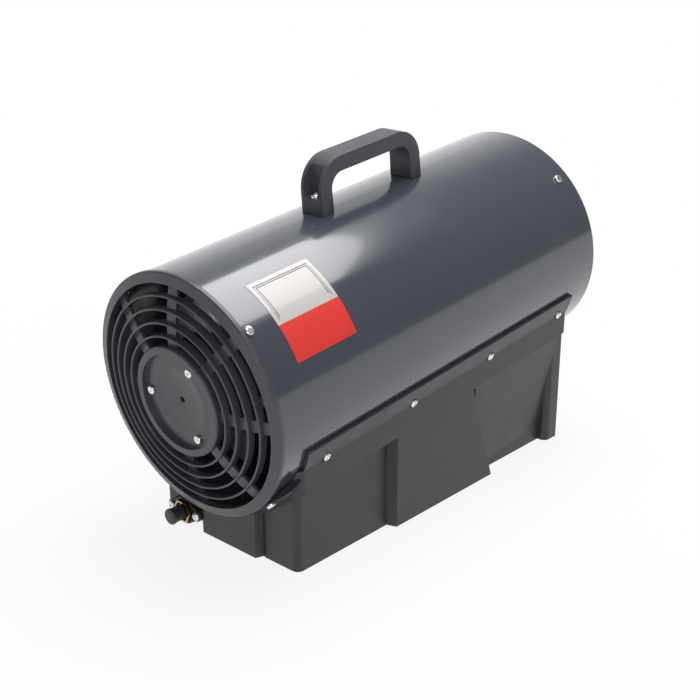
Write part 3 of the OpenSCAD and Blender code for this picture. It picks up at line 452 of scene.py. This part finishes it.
def inlet_brass(face):
    """Turned brass with painted shade: nearly black behind the hexagon's front edge, which lies at x = face.
    """
    made = soft_metal("inlet_brass", colours().brass, 0.22)
    nodes, links = made.node_tree.nodes, made.node_tree.links
    where = nodes.new("ShaderNodeTexCoord")
    parts = nodes.new("ShaderNodeSeparateXYZ")
    links.new(where.outputs["Object"], parts.inputs["Vector"])
    # Painted shade: the brass on the hexagon's sides and in its hollow face is darkened to nearly black
    painted_shade = spread(made, parts.outputs["X"], 0.0, 1.0, face + 0.0005, face + 0.0008)
    mix = blend_colours(made, painted_shade, colours().brass, darker(colours().brass, 0.09))
    links.new(nodes["Principled BSDF"].inputs["Base Color"].links[0].from_socket, mix.node.inputs["A"])
    feed(made, "Base Color", mix)
    return made


def ceramic():
    made = finish("glazed_ceramic", (0.80, 0.78, 0.73), 0.22, coat=0.4)
    cloud = noise(made, 90.0, 5.0)
    feed(made, "Base Color", blend_colours(made, cloud, (0.72, 0.69, 0.62), (0.82, 0.80, 0.76)))
    relief(made, (noise(made, 500.0, 2.0), 0.08, 0.0002))
    return made


def label_print():
    """Printed film: white, red and the dark line of the frame."""
    fields = []
    prints = (
        ("label_white_film", colours().label_white, 0.97),
        ("label_red_film", colours().label_red, 0.92),
    )
    for name, colour, shade in prints:
        film = finish(name, colour, 0.34, coat=0.3)
        cloud = noise(film, 55.0, 3.0)
        feed(film, "Base Color", blend_colours(film, cloud, darker(colour, shade), colour))
        relief(film, (noise(film, 300.0, 2.0), 0.06, 0.0002))
        fields.append(film)
    line = finish("label_frame_line", (0.035, 0.032, 0.032), 0.4)
    relief(line, (noise(line, 300.0, 2.0), 0.06, 0.0002))
    return *fields, line


# Places

OUT_OF_THE_END = Matrix.Rotation(-math.pi / 2, 4, "Y")


def on_axis():
    """Matrix of the tube's frame: X along the tube towards the outlet, Z away from the ground."""
    return Matrix.Translation((0.0, 0.0, sizes().axis_height)) @ Matrix.Rotation(-sizes().tilt, 4, "Y")


def radial(place, angle, distance, spin=0.0):
    """Matrix of a seat on the tube: Z outward at an angle counted from +Y towards the top."""
    out = Matrix.Rotation(angle - math.pi / 2, 4, "X")
    seat = Matrix.Translation((0.0, 0.0, distance)) @ Matrix.Rotation(spin, 4, "Z")
    return on_axis() @ Matrix.Translation((place, 0.0, 0.0)) @ out @ seat


def at_inlet(out=0.0, aside=0.0):
    """Matrix on the gas inlet's plate: Z out of the plate."""
    x, y, z = sizes().inlet_place
    return Matrix.Translation((x - out, y + aside, z)) @ OUT_OF_THE_END


# Modelling


def fresh():
    """Leaves edit mode and deselects everything."""
    if bpy.context.mode != "OBJECT":
        bpy.ops.object.mode_set(mode="OBJECT")
    bpy.ops.object.select_all(action="DESELECT")


def apply_all(piece):
    bpy.context.view_layer.objects.active = piece
    for modifier in list(piece.modifiers):
        bpy.ops.object.modifier_apply(modifier=modifier.name)


def pick(piece, wanted, kind="FACE"):
    """Selects, in edit mode, what wanted(middle, normal or run) accepts of the faces or edges."""
    bpy.ops.object.mode_set(mode="EDIT")
    bpy.ops.mesh.select_mode(type=kind)
    bpy.ops.mesh.select_all(action="DESELECT")
    mesh = bmesh.from_edit_mesh(piece.data)
    if kind == "FACE":
        for face in mesh.faces:
            face.select = bool(wanted(face.calc_center_median(), face.normal))
    else:
        for edge in mesh.edges:
            middle = (edge.verts[0].co + edge.verts[1].co) / 2
            edge.select = bool(wanted(middle, edge.verts[1].co - edge.verts[0].co))
    mesh.select_flush_mode()
    bmesh.update_edit_mesh(piece.data)


def done(piece):
    """Back to object mode, with the doubles merged and the normals outwards."""
    if bpy.context.mode != "EDIT_MESH":
        bpy.ops.object.mode_set(mode="EDIT")
    bpy.ops.mesh.select_all(action="SELECT")
    bpy.ops.mesh.remove_doubles(threshold=0.000005)
    bpy.ops.mesh.normals_make_consistent(inside=False)
    bpy.ops.object.mode_set(mode="OBJECT")


def rim_at(piece, height):
    """Selects the level edges at a height, in edit mode."""
    near = 0.00001
    pick(piece, lambda middle, run: abs(middle.z - height) < near and abs(run.z) < near, "EDGE")


def cut(piece, tool, operation="DIFFERENCE"):
    """Takes the tool out of the piece or, with INTERSECT, keeps what lies inside the tool."""
    boolean = piece.modifiers.new("cut", "BOOLEAN")
    boolean.operation = operation
    boolean.solver = "EXACT"
    boolean.object = tool
    apply_all(piece)
    bpy.data.objects.remove(tool, do_unlink=True)


def join(pieces, name):
    """Joins pieces into one object of that name."""
    fresh()
    for piece in pieces:
        piece.select_set(True)
    bpy.context.view_layer.objects.active = pieces[0]
    if len(pieces) > 1:
        bpy.ops.object.join()
    made = bpy.context.view_layer.objects.active
    made.name = name
    made.data.name = name
    return made


def settle(piece, matrix=None):
    """Moves the mesh to its place, so that the object stays at the origin."""
    fresh()
    piece.select_set(True)
    bpy.context.view_layer.objects.active = piece
    bpy.ops.object.transform_apply(location=True, rotation=True, scale=True)
    if matrix:
        piece.data.transform(matrix)


def lathe(name, profile, steps):
    """Draws a profile of (radius, height) point by point and spins it about Z."""
    # The first point is a small plane merged into its middle
    fresh()
    radius, height = profile[0]
    bpy.ops.mesh.primitive_plane_add(size=0.001, location=(radius, 0.0, height))
    piece = bpy.context.object
    settle(piece)
    piece.name = name
    bpy.ops.object.mode_set(mode="EDIT")
    bpy.ops.mesh.select_mode(type="VERT")
    bpy.ops.mesh.select_all(action="SELECT")
    bpy.ops.mesh.merge(type="CENTER")
    for (radius, height), (next_radius, next_height) in zip(profile, profile[1:]):
        step = (next_radius - radius, 0.0, next_height - height)
        bpy.ops.mesh.extrude_vertices_move(TRANSFORM_OT_translate={"value": step})
    bpy.ops.mesh.select_all(action="SELECT")
    bpy.ops.mesh.spin(steps=steps, angle=2 * math.pi, center=(0.0, 0.0, 0.0), axis=(0.0, 0.0, 1.0))
    done(piece)
    return piece


def copies(original, matrices, name):
    """Copies a finished piece to each matrix, each with its own mesh, and joins them."""
    made = []
    for matrix in matrices:
        twin = original.copy()
        twin.data = original.data.copy()
        twin.data.transform(matrix)
        bpy.context.collection.objects.link(twin)
        made.append(twin)
    bpy.data.objects.remove(original, do_unlink=True)
    return join(made, name)


def hand_over(piece, body, finishes, replaced=(), angle=35.0):
    """Shades a finished piece, gives it its finish and hangs it on its body."""
    fresh()
    piece.select_set(True)
    bpy.context.view_layer.objects.active = piece
    bpy.ops.object.shade_smooth_by_angle(angle=math.radians(angle))
    if finishes:
        piece.data.materials.clear()
        for made in finishes:
            piece.data.materials.append(made)
    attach(piece, body)
    if replaced:
        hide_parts(*replaced)
    fresh()


def shared(name):
    """A finish that the frame's operator has made."""
    return bpy.data.materials[name]


# Pieces


class HEATER_OT_finishes(bpy.types.Operator):
    """Give every piece of the frame its finish"""

    bl_idname = "heater.finishes"
    bl_label = "Finish the Frame"

    def execute(self, context):
        black = colours().moulding
        zinc = plated_steel()
        hot = bare_steel("heat_steel", (0.50, 0.48, 0.46), 0.38, tint=(0.47, 0.40, 0.33))
        alloy = soft_metal("cast_alloy", (0.66, 0.67, 0.69), 0.36)
        copper = soft_metal("copper_pipe", colours().copper, 0.26)
        brass = soft_metal("turned_brass", colours().brass, 0.24)
        red = finish("red_button", (0.50, 0.035, 0.03), 0.28, coat=0.3)
        relief(red, (noise(red, 600.0, 2.0), 0.06, 0.0001))
        finishes = {
            casing_paint(): ["outer_shell"],
            black_moulding("base_moulding", darker(black, 1.1), 0.36, 1500.0, 0.00006): [
                "base_tub", "bottom_plate"],
            black_moulding("guard_moulding", darker(black, 2.15), 0.30, 1300.0, 0.00006): ["fan_guard"],
            black_moulding("handle_moulding", darker(black, 1.9), 0.46, 900.0, 0.00016): ["carry_handle"],
            black_moulding("control_moulding", black, 0.38, 1500.0, 0.00005): [
                "switch_housing", "valve_button", "cable_gland", "dust_cap"],
            black_moulding("flange_paint", darker(black, 0.7), 0.34, 700.0, 0.00008): ["inlet_flange"],
            red: ["igniter_button", "switch_rocker"],
            zinc: [
                "bottom_screws", "hub_screws", "guard_screws", "outlet_screws", "flange_screws",
                "handle_screws", "handle_nuts", "fan_clip", "inlet_flange_screws"],
            hot: ["flame_tube", "flame_tube_brackets", "diffuser_disc", "burner_cup", "thermocouple"],
            laminations(): ["motor_core"],
            bare_steel("ground_steel", (0.56, 0.57, 0.59), 0.24): ["motor_shaft"],
            alloy: ["motor_front_bracket", "motor_rear_bracket", "fan_impeller", "limit_thermostat"],
            copper: ["motor_windings", "burner_pipe", "inlet_pipe"],
            brass: ["gas_nozzle", "gas_valve", "gas_inlet_fitting"],
            ceramic(): ["ignition_electrode", "igniter_body"],
        }
        for made, names in finishes.items():
            for name in names:
                for slot in NODES[name].material_slots:
                    slot.material = made
        left = set(NODES) - {name for names in finishes.values() for name in names}
        if left:
            raise RuntimeError("no finish for " + ", ".join(sorted(left)))
        return {"FINISHED"}


class HEATER_OT_label(bpy.types.Operator):
    """Add the two-field label on the casing, with its thin frame line"""

    bl_idname = "heater.label"
    bl_label = "Label"

    def execute(self, context):
        s = sizes()
        length = s.label_to - s.label_from
        middle = (s.label_from + s.label_to) / 2
        lift, slack = 0.00005, 0.0002
        fresh()
        bpy.ops.mesh.primitive_cylinder_add(
            vertices=720, radius=s.tube_radius + lift, depth=length, end_fill_type="NOTHING",
            rotation=(0.0, math.pi / 2, 0.0))
        label = context.object
        settle(label, Matrix.Translation((middle, 0.0, 0.0)))

        def above(place):
            return math.atan2(place.z, -place.y)

        pick(label, lambda place, normal: not s.label_foot < above(place) < s.label_top)
        bpy.ops.mesh.delete(type="FACE")
        # Cuts along the length, for the two frame lines and their gap
        rims = (0.0035, 0.0040, 0.0052, 0.0060)
        for rim in rims:
            for place in (s.label_from + rim, s.label_to - rim):
                bpy.ops.mesh.select_all(action="SELECT")
                bpy.ops.mesh.bisect(plane_co=(place, 0.0, 0.0), plane_no=(1.0, 0.0, 0.0))
        done(label)
        for made in label_print():
            label.data.materials.append(made)
        red, line = 1, 2
        for face in label.data.polygons:
            angle = above(face.center)
            if angle < s.label_split:
                face.material_index = red
                continue
            edge = min(
                face.center.x - s.label_from, s.label_to - face.center.x,
                (s.label_top - angle) * s.tube_radius, (angle - s.label_split) * s.tube_radius)
            if rims[0] < edge < rims[1] + slack or rims[2] < edge < rims[3]:
                face.material_index = line
        film = label.modifiers.new("film", "SOLIDIFY")
        film.thickness = 0.00018
        film.offset = 1.0
        apply_all(label)
        label.data.transform(on_axis())
        label.name = "label"
        hand_over(label, "casing", ())
        return {"FINISHED"}


def screw(name, radius, height, shank, reach):
    """A pan head with a cross recess, its seat at the origin and its shank below."""
    crown, brim, point = 0.62 * height, 0.08 * height, 0.3 * shank
    bar = (1.05 * radius, 0.24 * radius, 1.1 * height)
    taper = 0.45
    fresh()
    bpy.ops.mesh.primitive_cylinder_add(
        vertices=36, radius=radius, depth=height, location=(0.0, 0.0, height / 2))
    head = bpy.context.object
    settle(head)
    rim_at(head, height)
    bpy.ops.mesh.bevel(offset=crown, segments=5, profile=0.55, affect="EDGES")
    rim_at(head, 0.0)
    bpy.ops.mesh.bevel(offset=brim, segments=1, affect="EDGES")
    done(head)
    # The cross is cut by two bars that narrow downwards
    for turn in (0.0, math.pi / 2):
        fresh()
        bpy.ops.mesh.primitive_cube_add(size=1.0, location=(0.0, 0.0, height))
        arm = bpy.context.object
        arm.scale = bar
        arm.rotation_euler.z = turn
        settle(arm)
        pick(arm, lambda place, normal: normal.z < -0.9)
        bpy.ops.transform.resize(value=(taper, taper, 1.0))
        done(arm)
        cut(head, arm)
    fresh()
    bpy.ops.mesh.primitive_cylinder_add(
        vertices=20, radius=shank, depth=reach, location=(0.0, 0.0, -reach / 2))
    stem = bpy.context.object
    settle(stem)
    rim_at(stem, -reach)
    bpy.ops.mesh.bevel(offset=point, segments=2, affect="EDGES")
    done(stem)
    return join([head, stem], name)


class HEATER_OT_screws(bpy.types.Operator):
    """Add the pan head screws of casing, guard and base, each with its cross recess"""

    bl_idname = "heater.screws"
    bl_label = "Screws"

    def execute(self, context):
        s = sizes()
        ends = [math.radians(a) for a in (45, 135, 225, 315)]
        sides = [math.radians(a) for a in (-26, 206)]
        inlet_inset, outlet_inset = 0.0045, 0.015
        inlet_end = inlet_inset - s.tube_half
        outlet_end = s.tube_half - outlet_inset
        shank, reach = 0.00195, 0.0058
        # Each cross recess stands turned by another angle
        groups = {
            "guard_screws": [
                radial(inlet_end, a, s.tube_radius if math.sin(a) > 0 else s.collar_seat, 0.9 * i)
                for i, a in enumerate(ends)],
            "outlet_screws": [
                radial(outlet_end, a, s.tube_radius, 0.4 + 1.1 * i) for i, a in enumerate(ends)],
            "flange_screws": [
                radial((i - 1.5) * s.lip_pitch, a, s.lip_seat, 0.3 + 0.8 * i + a)
                for a in sides for i in range(4)],
        }
        for name, matrices in groups.items():
            one = screw(name + "_one", s.head_radius, s.head_height, shank, reach)
            made = copies(one, matrices, name + "_heads")
            hand_over(made, "casing", (shared("zinc_plate"),), (name,))
        return {"FINISHED"}


class HEATER_OT_hub_screws(bpy.types.Operator):
    """Add the three screws in the guard's hub, and those of handle and gas inlet"""

    bl_idname = "heater.hub_screws"
    bl_label = "Hub, Handle and Inlet Screws"

    def execute(self, context):
        s = sizes()
        # Head radius, head height, shank radius and length
        shapes = {
            "hub_screws": (0.0037, 0.0022, 0.00145, 0.017),
            "handle_screws": (0.0043, 0.0032, 0.00245, 0.0115),
            "inlet_flange_screws": (0.0037, 0.0022, 0.00145, 0.0115),
        }
        hub_face, hub_circle, screw_inset = -0.2131, 0.0326, 0.0054
        hub_seat = Matrix.Translation((hub_face, hub_circle, 0.0)) @ OUT_OF_THE_END
        pocket_floor = s.tube_radius + s.pocket_rise - s.pocket_height / 2
        leg_reach = s.handle_half - screw_inset
        seats = {
            "hub_screws": [
                on_axis() @ Matrix.Rotation(i * 2 * math.pi / 3, 4, "X") @ hub_seat
                @ Matrix.Rotation(0.7 * i, 4, "Z")
                for i in range(3)],
            "handle_screws": [
                on_axis() @ Matrix.Translation((s.handle_middle + side * leg_reach, 0.0, pocket_floor))
                @ Matrix.Rotation(0.6 * i, 4, "Z")
                for i, side in enumerate((-1, 1))],
            "inlet_flange_screws": [
                at_inlet(aside=side * s.inlet_screw_reach) @ Matrix.Rotation(0.5 + i, 4, "Z")
                for i, side in enumerate((-1, 1))],
        }
        for name, shape in shapes.items():
            made = copies(screw(name + "_one", *shape), seats[name], name + "_heads")
            hand_over(made, "casing", (shared("zinc_plate"),), (name,))
        return {"FINISHED"}


class HEATER_OT_windings(bpy.types.Operator):
    """Wind the two coil heads of the motor, turn by turn"""

    bl_idname = "heater.windings"
    bl_label = "Motor Windings"

    def execute(self, context):
        s = sizes()
        wire = s.wire_radius
        pitch = 2.1 * wire
        inner, outer = 0.0194, 0.0286
        # Start and end of each head along the tube
        heads = ((-0.1960, -0.1882), (-0.1640, -0.1562))
        turns = []
        for start, end in heads:
            across = int((outer - inner) / pitch)
            along = int((end - start) / pitch)
            # Turns that lie wholly inside a head are left out
            for i in range(across):
                for j in range(along):
                    if 0 < i < across - 1 and 0 < j < along - 1:
                        continue
                    fresh()
                    bpy.ops.mesh.primitive_torus_add(
                        major_radius=inner + wire + i * (outer - inner - 2 * wire) / (across - 1),
                        minor_radius=wire, major_segments=56, minor_segments=6,
                        location=(start + wire + j * (end - start - 2 * wire) / (along - 1), 0.0, 0.0),
                        rotation=(0.0, math.pi / 2, 0.0))
                    turns.append(context.object)
        coil = join(turns, "winding_turns")
        settle(coil, on_axis())
        enamel = soft_metal("enamelled_wire", colours().copper, 0.22)
        enamel.node_tree.nodes["Principled BSDF"].inputs["Coat Weight"].default_value = 0.7
        hand_over(coil, "casing", (enamel,), ("motor_windings",), 60.0)
        return {"FINISHED"}


class HEATER_OT_gas_inlet(bpy.types.Operator):
    """Turn the gas inlet: hollow-faced hexagon, body and thread"""

    bl_idname = "heater.gas_inlet"
    bl_label = "Gas Inlet"

    def execute(self, context):
        s = sizes()
        corners, depth = s.hexagon / math.sqrt(3), s.hexagon_depth
        cone_sink, rim = 0.00215, 0.0016
        fresh()
        bpy.ops.mesh.primitive_cylinder_add(
            vertices=6, radius=corners, depth=depth, location=(0.0, 0.0, depth / 2))
        hexagon = context.object
        settle(hexagon)
        # The chamfer is a cone turned over the hexagon's corners
        fresh()
        bpy.ops.mesh.primitive_cone_add(
            vertices=72, radius1=0.0150, radius2=0.0098, depth=0.0045, location=(0.0, 0.0, depth - cone_sink))
        cut(hexagon, context.object, "INTERSECT")
        # The face is hollow, with a thin rim left round it
        fresh()
        bpy.ops.mesh.primitive_cylinder_add(
            vertices=6, radius=corners - rim, depth=0.0036, location=(0.0, 0.0, depth))
        cut(hexagon, context.object)
        # Body and thread: one profile turned about the axis
        crests, pitch, foot = 8, 0.00134, 0.0023
        root, crest = 0.0049, 0.0056
        profile = [(0.0, -0.0149), (0.0070, -0.0149), (0.0070, 0.0014), (0.0064, 0.0020)]
        for i in range(crests):
            start = foot + i * pitch
            profile += [
                (root, start), (root, start + 0.0002), (crest, start + 0.0006), (crest, start + 0.0009)]
        profile += [(root, 0.0133), (0.0046, 0.0136), (0.0034, 0.0136), (0.0034, 0.0090), (0.0, 0.0090)]
        body = lathe("inlet_body", profile, 64)
        made = join([hexagon, body], "gas_inlet_turned")
        settle(made, at_inlet())
        # This brass carries painted shade behind the hexagon's front face
        brass = inlet_brass(s.inlet_place[0] - depth)
        hand_over(made, "casing", (brass,), ("gas_inlet_fitting",), 30.0)
        return {"FINISHED"}


class HEATER_OT_dust_cap(bpy.types.Operator):
    """Mould the dust cap with its head and its grip ribs"""

    bl_idname = "heater.dust_cap"
    bl_label = "Dust Cap"

    def execute(self, context):
        s = sizes()
        radius, head = s.cap_radius, s.cap_head
        gap, wall, bore, shorter = 0.0001, 0.0012, 0.00568, 0.0014
        rib_foot, rib_end, rib_sink = 0.0010, 0.0035, 0.0001
        start = s.hexagon_depth + gap
        length = s.inlet_place[0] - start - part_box("dust_cap")[0].x - shorter
        profile = [
            (0.0, length), (head - 0.0007, length), (head - 0.0002, length - 0.0002), (head, length - 0.0007),
            (head, length - 0.0026), (head - 0.0004, length - 0.0030), (radius, length - 0.0031),
            (radius, 0.0003), (radius - 0.0002, 0.0), (bore, 0.0), (bore, length - wall),
            (0.0, length - wall)]
        cap = lathe("cap_body", profile, 72)
        reach = length - rib_foot - rib_end
        fresh()
        bpy.ops.mesh.primitive_cylinder_add(
            vertices=8, radius=0.00034, depth=reach, location=(radius - rib_sink, 0.0, rib_foot + reach / 2))
        rib = context.object
        settle(rib)
        step = 2 * math.pi / s.cap_ribs
        ribs = copies(rib, [Matrix.Rotation(i * step, 4, "Z") for i in range(s.cap_ribs)], "cap_ribs")
        made = join([cap, ribs], "dust_cap_moulded")
        settle(made, at_inlet(out=start))
        hand_over(made, "inlet_cap", (shared("control_moulding"),), ("dust_cap",), 30.0)
        return {"FINISHED"}


class HEATER_OT_handle(bpy.types.Operator):
    """Mould the carry handle: flared legs, crisp edges and a screw pocket in each leg"""

    bl_idname = "heater.handle"
    bl_label = "Carry Handle"

    def arch(self, half, wide, foot, top, bend):
        """A block whose two upper edges are rounded off."""
        near = 0.0001
        fresh()
        bpy.ops.mesh.primitive_cube_add(size=1.0, location=(0.0, 0.0, (foot + top) / 2))
        block = bpy.context.object
        block.scale = (2 * half, wide, top - foot)
        settle(block)
        pick(block, lambda middle, run: middle.z > top - near and abs(run.y) > wide / 2, "EDGE")
        bpy.ops.mesh.bevel(offset=bend, segments=16, affect="EDGES")
        done(block)
        return block

    def execute(self, context):
        s = sizes()
        half, wide, thick, bend = s.handle_half, s.handle_width, s.handle_thick, s.handle_bend
        sink, below, clearance = 0.010, 0.020, 0.0002
        pocket_inset, pocket_depth, pocket_width = 0.0035, 0.0135, 0.0180
        pocket_taper = (1.0, 0.80, 0.97)
        foot, top = s.tube_radius - sink, s.handle_top
        handle = self.arch(half, wide, foot, top, bend)
        pick(handle, lambda place, normal: normal.z < -0.9)
        bpy.ops.transform.resize(value=(1.0, s.handle_flare, 1.0))
        done(handle)
        cut(handle, self.arch(half - thick, 2 * wide, foot - below, top - thick, bend - thick))
        # Screw pockets, wider at the mouth
        for side in (-1, 1):
            fresh()
            bpy.ops.mesh.primitive_cube_add(
                size=1.0, location=(side * (half - pocket_inset), 0.0, s.tube_radius + s.pocket_rise))
            pocket = context.object
            pocket.scale = (pocket_depth, pocket_width, s.pocket_height)
            settle(pocket)
            pick(pocket, lambda place, normal: normal.x * side < -0.9)
            bpy.ops.transform.resize(value=pocket_taper)
            done(pocket)
            cut(handle, pocket)
        # The feet are cut to the tube's curve
        fresh()
        bpy.ops.mesh.primitive_cylinder_add(
            vertices=256, radius=s.tube_radius + clearance, depth=2 * s.tube_half,
            rotation=(0.0, math.pi / 2, 0.0))
        tube = context.object
        settle(tube)
        cut(handle, tube)
        edges = handle.modifiers.new("edges", "BEVEL")
        edges.width = 0.0011
        edges.segments = 3
        edges.limit_method = "ANGLE"
        edges.angle_limit = math.radians(40.0)
        apply_all(handle)
        settle(handle, on_axis() @ Matrix.Translation((s.handle_middle, 0.0, 0.0)))
        handle.name = "handle_moulding"
        hand_over(handle, "casing", (shared("handle_moulding"),), ("carry_handle",), 30.0)
        return {"FINISHED"}


# Stage


class HEATER_OT_stage(bpy.types.Operator):
    """Set the floor, the studio light, the surroundings and the camera"""

    bl_idname = "heater.stage"
    bl_label = "Stage"

    def execute(self, context):
        fresh()
        bpy.ops.mesh.primitive_plane_add(size=16.0, location=(0.0, 0.0, -0.0002))
        floor = context.object
        floor.name = "floor"
        floor.data.materials.append(self.floor_cover())
        self.lamp(
            "top_softbox", location=(0.22, 0.0, 1.15), rotation=(0.0, 0.0, 0.0), size=(0.80, 0.9), power=13.0)
        self.lamp(
            "front_fill", location=(-1.3, -1.5, 1.1), rotation=(math.radians(62), 0.0, math.radians(-41)),
            size=(1.4, 1.0), power=12.0)
        self.surroundings(context)
        self.camera(context)
        return {"FINISHED"}

    def floor_cover(self):
        """White board that keeps the shadow near the heater and ends in plain white further out."""
        cover = finish("floor_white", (0.86, 0.86, 0.86), 0.6, specular=0.2)
        nodes, links = cover.node_tree.nodes, cover.node_tree.links
        where = nodes.new("ShaderNodeTexCoord")
        reach = nodes.new("ShaderNodeVectorMath")
        reach.operation = "LENGTH"
        links.new(where.outputs["Object"], reach.inputs[0])
        rays = nodes.new("ShaderNodeLightPath").outputs

        def combined(operation, first, second):
            node = nodes.new("ShaderNodeMath")
            node.operation = operation
            links.new(first, node.inputs[0])
            links.new(second, node.inputs[1])
            return node.outputs["Value"]

        edge = spread(cover, reach.outputs["Value"], 0.86, 1.0, 0.22, 0.62, smooth=True)
        seen = combined("MAXIMUM", rays["Is Camera Ray"], rays["Is Glossy Ray"])
        through = combined("MAXIMUM", seen, rays["Is Transmission Ray"])
        share = combined("MULTIPLY", through, edge)
        white = nodes.new("ShaderNodeEmission")
        white.inputs["Strength"].default_value = 1.0
        both = nodes.new("ShaderNodeMixShader")
        links.new(share, both.inputs["Fac"])
        links.new(nodes["Principled BSDF"].outputs["BSDF"], both.inputs[1])
        links.new(white.outputs["Emission"], both.inputs[2])
        links.new(both.outputs["Shader"], nodes["Material Output"].inputs["Surface"])
        return cover

    def lamp(self, name, location, rotation, size, power):
        fresh()
        bpy.ops.object.light_add(type="AREA", location=location, rotation=rotation)
        lamp = bpy.context.object
        lamp.name = name
        lamp.data.shape = "RECTANGLE"
        lamp.data.size, lamp.data.size_y = size
        lamp.data.energy = power

    def surroundings(self, context):
        """White towards the back wall, darker towards the open studio, and plain white behind the object."""
        world = bpy.data.worlds.new("studio")
        context.scene.world = world
        world.use_nodes = True
        nodes, links = world.node_tree.nodes, world.node_tree.links
        backdrop = nodes["Background"]
        where = nodes.new("ShaderNodeTexCoord")
        towards = nodes.new("ShaderNodeVectorMath")
        towards.operation = "DOT_PRODUCT"
        towards.inputs[1].default_value = (0.55, 0.83, -0.05)
        links.new(where.outputs["Generated"], towards.inputs[0])
        level = spread(world, towards.outputs["Value"], 0.26, 1.0, 0.38, 1.0, smooth=True)
        rays = nodes.new("ShaderNodeLightPath")
        seen = nodes.new("ShaderNodeMix")
        seen.data_type = "FLOAT"
        seen.inputs["B"].default_value = 1.0
        links.new(rays.outputs["Is Camera Ray"], seen.inputs["Factor"])
        links.new(level, seen.inputs["A"])
        links.new(seen.outputs["Result"], backdrop.inputs["Strength"])
        backdrop.inputs["Color"].default_value = (1.0, 1.0, 1.0, 1.0)

    def camera(self, context):
        """The photograph's own view, found from the tube's two ends and the base."""
        azimuth, elevation = math.radians(-47.58), math.radians(21.35)
        level = math.cos(elevation)
        back = Vector((math.sin(azimuth) * level, -math.cos(azimuth) * level, math.sin(elevation)))
        target = Vector((-0.0209, 0.0, 0.1209))
        distance = 1.1
        turn = (-back).to_track_quat("-Z", "Y").to_euler()
        fresh()
        bpy.ops.object.camera_add(location=target + distance * back, rotation=turn)
        camera = context.object
        camera.name = "camera"
        camera.data.sensor_width = 36.0
        camera.data.lens = 65.45
        context.scene.camera = camera
        context.scene.view_settings.view_transform = "Standard"


class HEATER_PT_panel(bpy.types.Panel):
    """Steps that dress the heater, in order"""

    bl_idname = "HEATER_PT_panel"
    bl_label = "Gas Forced Air Heater"
    bl_space_type = "VIEW_3D"
    bl_region_type = "UI"
    bl_category = "Heater"

    def draw(self, context):
        column = self.layout.column(align=True)
        for step in STEPS:
            column.operator(step.bl_idname)
        for group in (context.scene.heater_sizes, context.scene.heater_colours):
            box = self.layout.box()
            for name in group.__annotations__:
                box.prop(group, name)


STEPS = (
    HEATER_OT_finishes,
    HEATER_OT_label,
    HEATER_OT_screws,
    HEATER_OT_hub_screws,
    HEATER_OT_windings,
    HEATER_OT_gas_inlet,
    HEATER_OT_dust_cap,
    HEATER_OT_handle,
    HEATER_OT_stage,
)
CLASSES = (HeaterSizes, HeaterColours, *STEPS, HEATER_PT_panel)


def register():
    for made in CLASSES:
        bpy.utils.register_class(made)
    bpy.types.Scene.heater_sizes = PointerProperty(type=HeaterSizes)
    bpy.types.Scene.heater_colours = PointerProperty(type=HeaterColours)


def unregister():
    del bpy.types.Scene.heater_colours
    del bpy.types.Scene.heater_sizes
    for made in reversed(CLASSES):
        bpy.utils.unregister_class(made)


def main():
    register()
    for step in STEPS:
        family, name = step.bl_idname.split(".")
        getattr(getattr(bpy.ops, family), name)()


if __name__ == "__main__":
    main()
